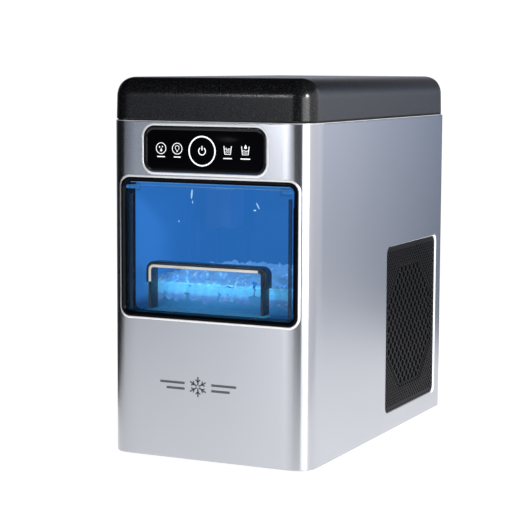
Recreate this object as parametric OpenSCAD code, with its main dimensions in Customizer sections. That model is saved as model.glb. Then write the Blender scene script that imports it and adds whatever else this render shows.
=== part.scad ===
// Countertop nugget ice maker: steel wrap casing, black lid, flip-up window, pull-out ice basket,
// auger freezing unit, compressor with condenser and fan, pump and water tank.
// Millimetres, +Z up, front towards -Y. Origin at the centre of the footprint, on the table.

/* [Body] */
// Overall width
body_w = 185.4; // [180:0.1:200]
// Overall depth
body_d = 322.6; // [322:0.1:340]
// Overall height
body_h = 325.1; // [322:0.1:345]
// Height of the rubber feet
foot_h = 6; // [5:0.5:8]
// Height of the moulded lid
lid_h = 35.5; // [34:0.5:38]
// Radius of the upright front corners and of the lid's edges
front_r = 16; // [14:1:17]
// Radius of the upright rear corners
rear_r = 10; // [8:1:12]
// How far plastic trim stands proud of the steel front and rear
trim = 0.6; // [0.4:0.1:0.8]
// Thickness of the steel sheet
sheet_t = 1; // [0.8:0.1:1.2]

/* [Window] */
// Width of the window bezel
window_w = 162.5; // [160:0.5:164]
// Height of the window bezel
window_h = 117; // [116:0.5:118]
// Height of the window's centre
window_z = 183; // [182.5:0.5:183.5]
// Width of the bezel's rim
rim_w = 3.95; // [3.5:0.05:4]
// Thickness of the clear door
pane_t = 3; // [2.5:0.1:3]

/* [Control panel] */
// Width of the control panel
panel_w = 112.3; // [110:0.1:113]
// Height of the control panel
panel_h = 38; // [37:0.5:38]
// Offset of the control panel from the middle
panel_x = -3; // [-5:0.5:0]
// Height of the control panel's centre
panel_z = 265.8; // [265:0.1:266]

/* [Side grille] */
// Depth of the grille from front to back
grille_d = 128; // [124:1:130]
// Height of the grille
grille_h = 151; // [148:1:152]
// Width across flats of one vent opening
vent_w = 5; // [4:0.1:5.4]
// Distance between vent openings in one row
vent_pitch = 10.3; // [10:0.1:11]

/* [Ice basket] */
// Half width of the basket
basket_x = 73.5; // [72:0.5:74]
// Height of the basket's front wall
basket_h = 21.4; // [20:0.2:24]
// Half width over the handle's grip
grip_x = 55.8; // [54.6:0.1:57]

/* [Freezing unit] */
// Radius of the freezing cylinder's bore
bore_r = 20; // [19:0.5:20]
// Radius of the auger's shaft
shaft_r = 6; // [5:0.5:6]
// Radial running clearance of every shaft and pin
run = 0.05; // [0.03:0.01:0.08]

/* [Hidden] */
$fn = 64;

steel = "#c4cad2";
black = "#18181a";
smoke = "#26303c";
blue = "#2b65af";
clear = [0.7, 0.85, 1, 0.35];
copper = "#b87333";
rubber = "#2a2a2a";

shell_w = body_w;
inner_x = shell_w / 2 - sheet_t - 0.3;
shell_d = body_d - 2 * trim;
front_y = -shell_d / 2;
rear_y = shell_d / 2;
shell_top = body_h - lid_h - trim;
lid_z = body_h - lid_h;
deck_z = foot_h + 5;

pane_front = front_y + 0.4;
pane_back = pane_front + pane_t;
tunnel_back = front_y + 17.7;
open_w = window_w - 2 * rim_w;
open_h = window_h - 7;
hinge_y = pane_back;
hinge_z = window_z + open_h / 2 - 4.5;
pin_r = 1.5;
ear_r = 3;
notch_w = 4.7;

liner_back = -33;
liner_x = open_w / 2;
liner_floor = 124;
liner_top = 243;
wall = 2;
chute = [-51, -61, 192];
chute_size = [24, 46, 34];

basket_z = 129.6;
basket_front = -140;
basket_back = -38;
handle_front = -156.4;
handle_back = -144;
handle_x = -4.2;
ribbon_x = 53.3;
ribbon_top = 168.6;
grip_top = 171;
grip_low = 153.5;

grille_y = 74;
grille_z = 98.5;

axis_x = -39;
axis_y = 10;
evap_z = 116;
port_z = 123;
flight_turns = 3;
flight_steps = 20;
flight_t = 3;
head_z = 188;
head_top = 228;
gear_m = 0.8;
gear_n = 60;
pinion_n = 15;
motor_x = axis_x + gear_m * (gear_n + pinion_n) / 2;
gearbox_z = 84;
cover_z = 108;

comp_x = -22;
comp_y = 98;
fan_y = 75;
fan_z = 98;
pump_x = 50;
drain_x = -58;
drain_z = 28;
rear_screw_z = [34, 112, 190, 268];
foot_xy = [62, 122];
boss_xy = [70, 130];

// Outline of the casing, drawn in by a given amount.
module outline(inset) {
    w = shell_w - 2 * inset;
    d = shell_d - 2 * inset;
    rf = front_r - inset;
    rr = rear_r - inset;
    translate([-w / 2, -d / 2 + rf]) square([w, d - rf - rr]);
    translate([-w / 2 + rf, -d / 2]) square([w - 2 * rf, rf + 1]);
    translate([-w / 2 + rr, d / 2 - rr - 1]) square([w - 2 * rr, rr + 1]);
    for (s = [-1, 1]) {
        translate([s * (w / 2 - rf), -d / 2 + rf]) circle(rf);
        translate([s * (w / 2 - rr), d / 2 - rr]) circle(rr);
    }
}

// Centred rectangle with round corners.
module round_rect(w, h, r) {
    square([w - 2 * r, h], center = true);
    square([w, h - 2 * r], center = true);
    for (x = [-1, 1], y = [-1, 1])
        translate([x * (w / 2 - r), y * (h / 2 - r)]) circle(r);
}

// Extrudes a drawing made in X and Z backwards along Y.
module along_y(y0, y1) {
    translate([0, y1, 0]) rotate([90, 0, 0]) linear_extrude(y1 - y0) children();
}

// Extrudes a drawing made in Y and Z along X.
module along_x(x0, x1) {
    translate([x0, 0, 0]) rotate([90, 0, 90]) linear_extrude(x1 - x0) children();
}

// Cube given by its lowest and highest corners.
module block(low, high) {
    translate(low) cube(high - low);
}

// Upright tube or disc between two heights.
module ring_z(x, y, z0, z1, outer, inner = 0) {
    translate([x, y, z0]) difference() {
        cylinder(h = z1 - z0, r = outer);
        if (inner > 0) translate([0, 0, -1]) cylinder(h = z1 - z0 + 2, r = inner);
    }
}

// Rod along Y.
module rod_y(x, z, y0, y1, r) {
    translate([x, y0, z]) rotate([-90, 0, 0]) cylinder(h = y1 - y0, r = r);
}

// Rod along X.
module rod_x(y, z, x0, x1, r) {
    translate([x0, y, z]) rotate([0, 90, 0]) cylinder(h = x1 - x0, r = r);
}

// Solid with round upright corners and a round top edge.
module pillow(w, d, h, r) {
    linear_extrude(h - r) round_rect(w, d, r);
    translate([-w / 2 + r, -d / 2 + r, 0]) cube([w - 2 * r, d - 2 * r, h]);
    for (s = [-1, 1]) {
        rod_x(s * (d / 2 - r), h - r, -w / 2 + r, w / 2 - r, r);
        rod_y(s * (w / 2 - r), h - r, -d / 2 + r, d / 2 - r, r);
        for (t = [-1, 1]) translate([s * (w / 2 - r), t * (d / 2 - r), h - r]) sphere(r);
    }
}

// Spur gear with straight-sided teeth, one tooth centred on +X.
module spur(n, thick, bore) {
    pitch_r = gear_m * n / 2;
    step = 360 / n;
    corners = [[-0.33, -1.0], [-0.12, 0.7], [0.12, 0.7], [0.33, -1.0]];
    points = [for (k = [0:n - 1], c = corners)
        (pitch_r + c[1] * gear_m) * [cos((k + c[0]) * step), sin((k + c[0]) * step)]];
    linear_extrude(thick) difference() {
        polygon(points);
        if (bore > 0) circle(bore);
    }
}

// Point on the smooth curve through four route points.
function blend_point(a, b, c, d, t) = 0.5 * (2 * b + (c - a) * t
    + (2 * a - 5 * b + 4 * c - d) * t * t + (3 * b - a - 3 * c + d) * t * t * t);
function smooth(p, k) = let (n = len(p)) concat(
    [for (i = [0:n - 2], j = [0:k - 1])
        blend_point(p[max(i - 1, 0)], p[i], p[i + 1], p[min(i + 2, n - 1)], j / k)],
    [p[n - 1]]);
function unit(v) = v / norm(v);

// Tube swept along a route; across is a direction that the route never follows.
module swept(route, r, across, sides = 8, steps = 4) {
    p = smooth(route, steps);
    n = len(p);
    rings = [for (i = [0:n - 1]) let (
        t = unit(p[min(i + 1, n - 1)] - p[max(i - 1, 0)]),
        u = unit(cross(t, across)),
        v = cross(t, u))
        for (j = [0:sides - 1]) p[i] + r * (cos(360 * j / sides) * u + sin(360 * j / sides) * v)];
    faces = concat(
        [[for (j = [0:sides - 1]) j]],
        [for (i = [0:n - 2], j = [0:sides - 1]) let (k = (j + 1) % sides)
            [i * sides + j, (i + 1) * sides + j, (i + 1) * sides + k, i * sides + k]],
        [[for (j = [sides - 1:-1:0]) (n - 1) * sides + j]]);
    polyhedron(rings, faces, convexity = 10);
}

module casing_wrap() color(steel) difference() {
    translate([0, 0, foot_h]) linear_extrude(shell_top - foot_h) difference() {
        outline(0);
        outline(sheet_t);
    }
    block([-74, rear_y - 8, foot_h - 1], [74, rear_y + 1, shell_top + 1]);
    along_y(front_y - 1, front_y + 9) translate([0, window_z])
        round_rect(window_w + 0.8, window_h + 0.8, 8.4);
    along_y(front_y - 1, front_y + 9) translate([panel_x, panel_z])
        round_rect(panel_w + 0.7, panel_h + 0.7, 9.7);
    along_x(shell_w / 2 - 4, shell_w / 2 + 1) translate([grille_y, grille_z])
        round_rect(grille_d + 0.6, grille_h + 0.6, 7.3);
    for (z = rear_screw_z, s = [-1, 1]) rod_y(s * 78.5, z, rear_y - 3, rear_y + 1, 1.6);
}

module rear_cover() color(black) difference() {
    union() {
        block([-73.6, rear_y - 1.5, foot_h + 3.5], [73.6, rear_y, shell_top - 0.4]);
        block([-83.5, rear_y - 3.7, foot_h + 3.5], [83.5, rear_y - 1.5, shell_top - 0.4]);
    }
    for (row = [0:11], s = [-1, 1])
        block([s * 33 - 26, rear_y - 5, 170 + row * 8], [s * 33 + 26, rear_y + 1, 173.5 + row * 8]);
    for (z = rear_screw_z, s = [-1, 1]) rod_y(s * 78.5, z, rear_y - 5, rear_y + 1, 1.4);
    rod_y(drain_x, drain_z, rear_y - 5, rear_y + 1, 16);
    block([34, rear_y - 5, 29], [62, rear_y + 1, 51]);
}

module base_tray() color(black) difference() {
    translate([0, 0, foot_h]) linear_extrude(14) outline(sheet_t + 0.3);
    translate([0, 0, foot_h + 3]) linear_extrude(14) outline(sheet_t + 2.6);
    for (x = [-1, 1], y = [-1, 1])
        ring_z(x * foot_xy[0], y * foot_xy[1], 0, 30, 2.1);
    block([-90, rear_y - 4, foot_h + 3.2], [90, rear_y + 1, 30]);
}

module base_plate() color("#9aa0a6") difference() {
    translate([0, 0, foot_h + 3]) linear_extrude(2) outline(sheet_t + 4.4);
    for (x = [-1, 1], y = [-1, 1])
        ring_z(x * foot_xy[0], y * foot_xy[1], 0, 30, 2.1);
    for (a = [90, 210, 330])
        ring_z(comp_x + 50 * cos(a), comp_y + 50 * sin(a), 0, 30, 2.6);
}

module feet() color(rubber)
    for (x = [-1, 1], y = [-1, 1]) translate([x * foot_xy[0], y * foot_xy[1], 0]) difference() {
        union() {
            cylinder(h = 1, r1 = 9, r2 = 10);
            translate([0, 0, 1]) cylinder(h = foot_h - 1, r1 = 10, r2 = 9);
        }
        translate([0, 0, -1]) cylinder(h = 4, r = 4);
        cylinder(h = foot_h + 1, r = 2.1);
    }

module foot_screws() color("silver")
    for (x = [-1, 1], y = [-1, 1]) translate([x * foot_xy[0], y * foot_xy[1], 0]) {
        translate([0, 0, 1]) cylinder(h = 2, r = 3.6);
        translate([0, 0, 3]) cylinder(h = deck_z - 3, r = 2);
    }

module top_lid() color(black) translate([0, 0, lid_z]) {
    difference() {
        pillow(shell_w - 0.4, shell_d - 0.4, lid_h, front_r);
        translate([0, 0, -1]) pillow(shell_w - 5.4, shell_d - 5.4, lid_h - 1.5, front_r - 2.5);
    }
    difference() {
        translate([0, 0, -5]) linear_extrude(8) difference() {
            round_rect(shell_w - 3.4, shell_d - 3.4, front_r - 1.7);
            round_rect(shell_w - 7.4, shell_d - 7.4, front_r - 3.7);
        }
        block([panel_x - 64, front_y - 1, -6], [panel_x + 64, front_y + 20, 0]);
        block([-90, rear_y - 4.5, -6], [90, rear_y + 1, 0]);
    }
    for (x = [-1, 1], y = [-1, 1])
        ring_z(x * boss_xy[0], y * boss_xy[1], -8, lid_h - 2, 4.5, 1.6);
}

module top_rails() color("#9aa0a6") for (y = [-1, 1]) difference() {
    union() {
        block([-inner_x, y * boss_xy[1] - 8, lid_z - 10], [inner_x, y * boss_xy[1] + 8, lid_z - 8]);
        for (s = [-1, 1])
            block([s * (inner_x - 0.75) - 0.75, y * boss_xy[1] - 8, lid_z - 26],
                [s * (inner_x - 0.75) + 0.75, y * boss_xy[1] + 8, lid_z - 10]);
    }
    for (x = [-1, 1]) ring_z(x * boss_xy[0], y * boss_xy[1], lid_z - 20, lid_z, 1.8);
}

module lid_screws() color("silver")
    for (x = [-1, 1], y = [-1, 1])
        translate([x * boss_xy[0], y * boss_xy[1], lid_z - 12.5]) {
            cylinder(h = 2.5, r = 3.4);
            cylinder(h = 16, r = 1.6);
        }

module window_bezel() color(black) difference() {
    union() {
        along_y(front_y - 0.4, front_y + 6) translate([0, window_z])
            round_rect(window_w, window_h, 8);
        along_y(front_y + 1.2, front_y + 3.5) translate([0, window_z])
            round_rect(148, window_h + 5, 6);
        along_y(front_y + 6, tunnel_back) translate([0, window_z])
            round_rect(open_w + 2 * wall, open_h + 2 * wall, 7);
    }
    difference() {
        along_y(front_y - 2, tunnel_back + 1) translate([0, window_z])
            round_rect(open_w, open_h, 5);
        for (s = [-1, 1])
            block([s * (open_w / 2 - 0.2) - 1.2, pane_back + 0.4, window_z - 48],
                [s * (open_w / 2 - 0.2) + 1.2, pane_back + 2.2, window_z + 38]);
    }
    for (s = [-1, 1])
        rod_x(hinge_y, hinge_z, s * open_w / 2 - 2, s * open_w / 2 + 2, pin_r);
}

module panel_bezel() color(black) difference() {
    union() {
        along_y(-body_d / 2, front_y + 3) translate([panel_x, panel_z])
            round_rect(panel_w, panel_h, 9.4);
        along_y(front_y + 1.1, front_y + 2.6) translate([panel_x, panel_z])
            round_rect(panel_w + 5, panel_h + 3, 10);
        along_y(front_y + 3, front_y + 12) translate([panel_x, panel_z])
            round_rect(panel_w - 2, panel_h - 2, 8.4);
    }
    along_y(-body_d / 2 - 1, front_y + 2) translate([panel_x, panel_z])
        round_rect(panel_w - 6, panel_h - 6, 6.4);
    along_y(front_y - 1, front_y + 13) translate([panel_x, panel_z])
        round_rect(panel_w - 10, panel_h - 8, 5.4);
}

module touch_panel() color("#050506") along_y(front_y, front_y + 2)
    translate([panel_x, panel_z]) round_rect(panel_w - 6.4, panel_h - 6.4, 6.2);

module display_board() color("darkgreen") along_y(front_y + 6, front_y + 7.6)
    translate([panel_x, panel_z]) round_rect(panel_w - 11, panel_h - 9, 5);

module window_door() color(clear) difference() {
    union() {
        along_y(pane_front, pane_back) translate([0, window_z - 1])
            round_rect(open_w - 1.4, open_h - 3.4, 4.4);
        for (s = [-1, 1]) rod_x(hinge_y, hinge_z, s * 69 - 4, s * 69 + 4, ear_r);
    }
    for (s = [-1, 1]) {
        rod_x(hinge_y, hinge_z, s * 71.3 - 4.5, s * 71.3 + 4.5, pin_r + run);
        block([s * 80 - notch_w, pane_front - 1, hinge_z - 5],
            [s * 80 + notch_w, pane_back + 1, hinge_z + 5]);
    }
}

module hinge_pins() color("silver")
    for (s = [-1, 1]) rod_x(hinge_y, hinge_z, s * 73.05 - 6.05, s * 73.05 + 6.05, pin_r);

module side_grille() color(black) difference() {
    union() {
        along_x(shell_w / 2 - 3.6, shell_w / 2 - 0.2) translate([grille_y, grille_z])
            round_rect(grille_d, grille_h, 7);
        along_x(shell_w / 2 - 3.6, inner_x) translate([grille_y, grille_z])
            round_rect(grille_d + 4, grille_h + 4, 9);
    }
    along_x(shell_w / 2 - 5, shell_w / 2 - 2.4) translate([grille_y, grille_z])
        round_rect(grille_d - 6, grille_h - 6, 4);
    along_x(shell_w / 2 - 3, shell_w / 2 + 2) vents();
}

// Field of staggered six-sided openings inside a long octagon.
module vents() intersection() {
    translate([grille_y, grille_z]) polygon([
        for (c = [[58, 27], [30, 58], [-30, 58], [-58, 27], [-58, -27], [-30, -58], [30, -58], [58, -27]])
            c]);
    for (row = [-11:11], col = [-6:6])
        translate([grille_y + (col + (row % 2 == 0 ? 0 : 0.5)) * vent_pitch,
            grille_z + row * vent_pitch / 2])
            rotate(30) circle(r = vent_w / sqrt(3), $fn = 6);
}

module air_filter() color("#3a3d40") along_x(shell_w / 2 - 5.6, shell_w / 2 - 4)
    translate([grille_y, grille_z]) round_rect(grille_d - 8, grille_h - 8, 4);

module chamber_liner() color(blue) difference() {
    union() {
        block([-liner_x - wall, tunnel_back, liner_floor - wall],
            [liner_x + wall, liner_back + wall, liner_top + wall]);
        ring_z(40, -90, 113, liner_floor - wall, 8.5);
    }
    difference() {
        block([-liner_x, tunnel_back - 1, liner_floor], [liner_x, liner_back, liner_top]);
        for (s = [-1, 1])
            block([s * 71.5 - 6.5, tunnel_back - 1, liner_floor - 1],
                [s * 71.5 + 6.5, liner_back + 1, basket_z - 0.1]);
        block([-liner_x, tunnel_back - 1, liner_floor - 1],
            [liner_x, tunnel_back + wall, window_z - open_h / 2]);
    }
    ring_z(40, -90, 100, liner_floor + 1, 7);
    block(chute, chute + chute_size);
    block([-26, -116, liner_top - 1], [26, -102, liner_top + wall + 1]);
}

module ice_chute() color("#3f78bd") difference() {
    block(chute, chute + chute_size);
    block(chute + [1.6, 1.6, 1.6], chute + chute_size + [-1.6, 1, -1.6]);
    block(chute + [1.6, 1.6, -1], chute + [chute_size[0] - 1.6, 24, 4]);
}

module chamber_light() color("#e8f2ff")
    block([-26, -116, liner_top - 1], [26, -102, liner_top + wall]);

module ice_level_sensor() color("#0f1a2c") {
    block([28, liner_back - 5, 176], [44, liner_back, 190]);
    rod_y(36, 183, liner_back - 7, liner_back - 5, 3);
}

module ice_basket() color([0.55, 0.78, 0.95, 0.5]) difference() {
    union() {
        block([-basket_x, basket_front, basket_z],
            [basket_x, basket_back, basket_z + basket_h]);
        block([handle_x - ribbon_x - 2, handle_front + 0.4, basket_z],
            [handle_x + ribbon_x + 2, basket_front, basket_z + 1.6]);
    }
    block([-basket_x + wall, basket_front + wall, basket_z + wall],
        [basket_x - wall, basket_back - wall, basket_z + basket_h + 1]);
    for (x = [-4:4], y = [0:3])
        block([x * 14 - 4, -128 + y * 22, basket_z - 1], [x * 14 + 4, -125 + y * 22, basket_z + 3]);
}

module basket_handle() color(smoke)
    along_y(handle_front, handle_back) translate([handle_x, 0]) difference() {
        translate([0, (ribbon_top + basket_z) / 2]) round_rect(2 * ribbon_x, ribbon_top - basket_z, 4.5);
        translate([0, (ribbon_top + basket_z) / 2 - 10])
            round_rect(2 * ribbon_x - 4.8, ribbon_top - basket_z + 15.2, 2.4);
        translate([-80, basket_z - 1]) square([160, 2.6]);
    }

module handle_grip() color(smoke)
    along_y(handle_front + 0.2, handle_back - 0.4) translate([handle_x, 0]) difference() {
        translate([0, grip_top - 25]) round_rect(2 * grip_x, 50, 6.5);
        translate([0, ribbon_top - 24]) round_rect(2 * ribbon_x, 48, 4.5);
        translate([-80, grip_top - 60]) square([160, 60 - grip_top + grip_low]);
    }

module water_tank() color([0.85, 0.9, 0.95, 0.6]) {
    difference() {
        union() {
            block([-76, -138, deck_z], [76, -32, 112]);
            rod_y(pump_x, 24, -33, -26, 5);
            rod_y(-50, 22, -33, -26, 5);
        }
        block([-74, -136, deck_z + 2], [74, -34, 113]);
        rod_y(pump_x, 24, -40, -25, 3);
        rod_y(-50, 22, -40, -25, 3);
    }
}

module tank_cover() color("#d5dae0") difference() {
    block([-76, -138, 112], [76, -32, 114]);
    ring_z(40, -90, 110, 116, 9);
    for (s = [-1, 1]) ring_z(-40 + s * 6, -60, 110, 116, 2.2);
}

module water_level_probe() color("silver") {
    for (s = [-1, 1]) {
        ring_z(-40 + s * 6, -60, 40, 114, 2.2);
        ring_z(-40 + s * 6, -60, 114, 116, 3.4);
    }
    block([-52, -66, 116], [-28, -54, 119]);
}

module pump_body() color(black) difference() {
    union() {
        ring_z(pump_x, 0, deck_z, 30, 18);
        rod_y(pump_x, 24, -24, -10, 5);
        rod_x(0, 24, 26, 40, 5);
    }
    ring_z(pump_x, 0, deck_z + 4, 31, 14);
    rod_y(pump_x, 24, -25, -10, 3);
    rod_x(0, 24, 25, 40, 3);
}

module pump_motor() color("#3b4046") difference() {
    union() {
        ring_z(pump_x, 0, 30, 33, 18);
        ring_z(pump_x, 0, 33, 72, 15);
    }
    ring_z(pump_x, 0, 29, 44, 2 + run);
}

module pump_impeller() color("white") {
    ring_z(pump_x, 0, 17, 19, 12.5);
    ring_z(pump_x, 0, 19, 42, 2);
    for (a = [0:60:300]) translate([pump_x, 0, 19]) rotate(a)
        translate([4, -0.7, 0]) cube([8, 1.4, 9]);
    ring_z(pump_x, 0, 19, 28, 5);
}

module suction_hose() color("#c9d2d8") difference() {
    rod_y(pump_x, 24, -31.5, -18.6, 7);
    rod_y(pump_x, 24, -33, -18, 5);
}

feed_route = [[25.9, 0, 24], [24.9, 0, 24], [23.5, 0, 24], [20.3, 0, 25.3], [19, -0.3, 28.6],
    [19, -1.4, 33], [19.2, -4, 40], [20, -8, 52], [20, -8, 72], [20, -8, 95], [17, -4, 113],
    [9, 7, 121.5], [2, 10, port_z], [-2, 10, port_z], [-5.9, 10, port_z]];
module feed_hose() color("#c9d2d8") swept(feed_route, 3.5, [0.1, 1, 0.05], steps = 2);

drain_route = [[-50, -25.9, 22], [-50, -24.9, 22], [-50, -23.7, 22], [-51.6, -20.9, 22],
    [-55, -20, 22], [-60, -20.6, 22], [-66, -21.8, 22], [-72, -21.3, 22], [-77.8, -17.4, 22],
    [-81, -9, 22], [-82, 3, 22], [-82, 35, 22], [-82, 80, 22], [-82, 112, 23], [-80.5, 121, 24],
    [-76, 128, 25.3], [-69, 131.2, 26.7], [-62.6, 132, 28], [-59.3, 133.4, 28], [-58, 136.6, 28],
    [-58, 139, 28], [-58, 140.9, 28]];
module drain_hose() color("#c9d2d8") swept(drain_route, 3.5, [0, 0, 1], steps = 2);

module drain_port() color(black) difference() {
    union() {
        rod_y(drain_x, drain_z, rear_y - 11, rear_y + 0.4, 16);
        rod_y(drain_x, drain_z, 141, rear_y - 11, 6);
    }
    rod_y(drain_x, drain_z, rear_y - 8, rear_y + 1, 14);
    rod_y(drain_x, drain_z, 140, rear_y, 4);
}

module drain_plug() color("#5a5f66") {
    rod_y(drain_x, drain_z, 145, rear_y - 7.9, 4 - run);
    rod_y(drain_x, drain_z, rear_y - 7.9, rear_y - 4, 10);
    block([drain_x - 8, rear_y - 4, drain_z - 1.5], [drain_x + 8, rear_y - 0.4, drain_z + 1.5]);
}

module evaporator() color("silver") difference() {
    union() {
        ring_z(axis_x, axis_y, evap_z, head_z, 24);
        ring_z(axis_x, axis_y, evap_z, evap_z + 2, 28);
        rod_x(axis_y, port_z, axis_x + 22, -6, 4);
    }
    ring_z(axis_x, axis_y, evap_z - 1, head_z + 1, bore_r);
    rod_x(axis_y, port_z, axis_x + 15, -5, 2.4);
}

module insulation() color("#303236") ring_z(axis_x, axis_y, 128, head_z - 2, 35, 24);

// Auger with one helical flight of a square-edged section.
module auger() color("silver") {
    n = flight_turns * flight_steps;
    rise = head_z + 4 - evap_z - flight_t - 2;
    section = [[shaft_r - 1, 0], [bore_r - 0.4, 0], [bore_r - 0.4, flight_t], [shaft_r - 1, flight_t]];
    rings = [for (i = [0:n], c = section) let (a = 360 * i / flight_steps)
        [c[0] * cos(a), c[0] * sin(a), c[1] + rise * i / n]];
    faces = concat([[3, 2, 1, 0]],
        [for (i = [0:n - 1], j = [0:3]) let (k = (j + 1) % 4)
            [4 * i + j, 4 * i + k, 4 * i + 4 + k, 4 * i + 4 + j]],
        [[4 * n, 4 * n + 1, 4 * n + 2, 4 * n + 3]]);
    ring_z(axis_x, axis_y, gearbox_z + 4, head_top - 1, shaft_r);
    translate([axis_x, axis_y, evap_z + 2]) polyhedron(rings, faces, convexity = 10);
}

module auger_bearings() color("silver") for (z = [cover_z, head_top - 6])
    ring_z(axis_x, axis_y, z, z + 6, 13, shaft_r + run);

module shaft_seal() color(rubber)
    ring_z(axis_x, axis_y, evap_z - 2, evap_z, 13, shaft_r + 2 * run);

module extruder_head() color("#b9bec4") difference() {
    ring_z(axis_x, axis_y, head_z, head_top, 24);
    ring_z(axis_x, axis_y, head_z - 1, head_top - 6, bore_r);
    ring_z(axis_x, axis_y, head_top - 7, head_top + 1, 13);
    block([axis_x - 9, axis_y - 40, 196], [axis_x + 9, axis_y, 220]);
}

module gearbox_housing() color("#6d7278") difference() {
    block([-69, -20, gearbox_z], [3, 40, cover_z]);
    block([-66, -17, gearbox_z + 3], [0, 37, cover_z + 1]);
    ring_z(motor_x, axis_y, gearbox_z - 1, gearbox_z + 4, 3.5);
}

module gearbox_cover() color("#6d7278") difference() {
    union() {
        block([-69, -20, cover_z], [3, 40, cover_z + 4]);
        ring_z(axis_x, axis_y, cover_z + 4, evap_z, 20);
    }
    ring_z(axis_x, axis_y, cover_z - 1, evap_z + 1, 13);
}

module drive_gear() color("goldenrod") translate([axis_x, axis_y, gearbox_z + 8])
    spur(gear_n, 8, shaft_r);

module motor_pinion() color("goldenrod") {
    translate([motor_x, axis_y, gearbox_z + 8]) spur(pinion_n, 8, 0);
    ring_z(motor_x, axis_y, gearbox_z - 8, gearbox_z + 8, 3);
}

module gear_motor() color("#3b4046") difference() {
    union() {
        ring_z(motor_x, axis_y, 22, gearbox_z - 2, 24);
        ring_z(motor_x, axis_y, gearbox_z - 2, gearbox_z, 14);
    }
    ring_z(motor_x, axis_y, gearbox_z - 10, gearbox_z + 1, 3 + run);
}

module unit_bracket() color("#9aa0a6") for (x = [-69, -45]) {
    block([x, -18, deck_z], [x + 2, 38, gearbox_z]);
    block([x + 2, -18, deck_z], [x + 9, 38, deck_z + 2]);
    block([x + 2, -18, gearbox_z - 2], [x + 9, 38, gearbox_z]);
}

module compressor() color(black) {
    translate([comp_x, comp_y, 0]) {
        translate([0, 0, 23]) cylinder(h = 8, r1 = 40, r2 = 46);
        translate([0, 0, 31]) cylinder(h = 77, r = 46);
        translate([0, 0, 108]) cylinder(h = 6, r1 = 46, r2 = 43);
        translate([0, 0, 114]) cylinder(h = 10, r1 = 43, r2 = 32);
        translate([0, 0, 92]) cylinder(h = 4, r = 48);
        difference() {
            for (a = [90, 210, 330]) rotate(a) translate([20, -9, 20]) cube([37, 18, 3]);
            for (a = [90, 210, 330]) rotate(a) translate([50, 0, 19]) cylinder(h = 5, r = 6);
        }
        translate([0, 0, 20]) cylinder(h = 3, r = 40);
    }
}

module compressor_mounts() color(rubber) for (a = [90, 210, 330])
    translate([comp_x + 50 * cos(a), comp_y + 50 * sin(a), deck_z]) difference() {
        union() {
            cylinder(h = 20 - deck_z, r = 8);
            cylinder(h = 23.2 - deck_z, r = 6);
            translate([0, 0, 23.2 - deck_z]) cylinder(h = 3, r = 7);
        }
        translate([0, 0, -1]) cylinder(h = 30, r = 2.5);
    }

module compressor_bolts() color("silver") for (a = [90, 210, 330])
    translate([comp_x + 50 * cos(a), comp_y + 50 * sin(a), deck_z - 2]) {
        cylinder(h = 23, r = 2.5);
        translate([0, 0, 17.2]) cylinder(h = 4, r = 4.6, $fn = 6);
    }

module condenser() color("#b4b9bf") {
    for (k = [0:17]) block([66, 24 + k * 6, 30], [84, 24.8 + k * 6, 166]);
    for (k = [0:7]) rod_y(75, 40 + k * 16.5, 22, 128, 3.5);
    for (y = [22, 126.8]) block([66, y, deck_z], [84, y + 1.2, 168]);
}

module fan_shroud() color(black) {
    difference() {
        union() {
            block([61, 24, 42], [63, 126, 154]);
            rod_x(fan_y, fan_z, 49, 61, 49);
            for (y = [28, 112]) block([61, y, deck_z], [63, y + 10, 42]);
        }
        rod_x(fan_y, fan_z, 48, 64, 47);
    }
    difference() {
        union() {
            block([49, fan_y - 3, fan_z - 47.5], [51, fan_y + 3, fan_z + 47.5]);
            block([49, fan_y - 47.5, fan_z - 3], [51, fan_y + 47.5, fan_z + 3]);
            rod_x(fan_y, fan_z, 49, 51, 16);
        }
        rod_x(fan_y, fan_z, 48, 52, 3);
    }
}

module fan_rotor() color("#e6e8ea") {
    rod_x(fan_y, fan_z, 52, 60.5, 14);
    rod_x(fan_y, fan_z, 44, 52, 2);
    for (a = [0:60:300]) translate([56.2, fan_y, fan_z]) rotate([a, 0, 0])
        translate([0, 0, 12]) rotate([0, 0, 28]) translate([-0.8, -8, 0]) cube([1.6, 16, 32]);
}

module fan_motor() color("#3b4046") difference() {
    rod_x(fan_y, fan_z, 28, 49, 15);
    rod_x(fan_y, fan_z, 42, 50, 2 + run);
}

module filter_drier() color(copper) translate([56, 148, 62]) {
    cylinder(h = 8, r1 = 3.5, r2 = 7.5);
    translate([0, 0, 8]) cylinder(h = 40, r = 7.5);
    translate([0, 0, 48]) cylinder(h = 8, r1 = 7.5, r2 = 3);
}

discharge_route = [[0, 112, 124.1], [0, 112, 127.5], [0, 112, 137], [0, 112, 155], [0, 112, 172],
    [4, 112, 182], [16, 112, 187], [40, 112, 187], [62, 112, 186.5], [72, 112.5, 182.5],
    [76, 117.5, 178], [77, 126, 174.5], [77, 133.5, 171.5], [77, 138, 167], [76.4, 139, 162],
    [75.5, 137.3, 157.6], [75, 133.4, 155.5], [75, 130.7, 155.5], [75, 128.1, 155.5]];
liquid_route = [[75, 128.1, 73], [75, 130.7, 73], [75, 133.4, 73], [74, 138.4, 71.2],
    [70.8, 143.2, 66.6], [67.2, 146.8, 60.4], [63.4, 148, 55.3], [60.2, 148, 53.8], [57.2, 148, 55],
    [56, 148, 58], [56, 148, 60], [56, 148, 61.9]];
capillary_route = [[56, 148, 118.1], [56, 148, 121], [56, 148, 128], [56, 148, 145], [55.6, 147.5, 165],
    [53.5, 145.5, 186], [44, 130, 203], [20, 88, 207], [-8, 50, 205], [-19.5, 34.5, 197.5],
    [-22, 31, 191], [-22, 31, 188.5], [-22, 31, 186.1]];
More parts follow.
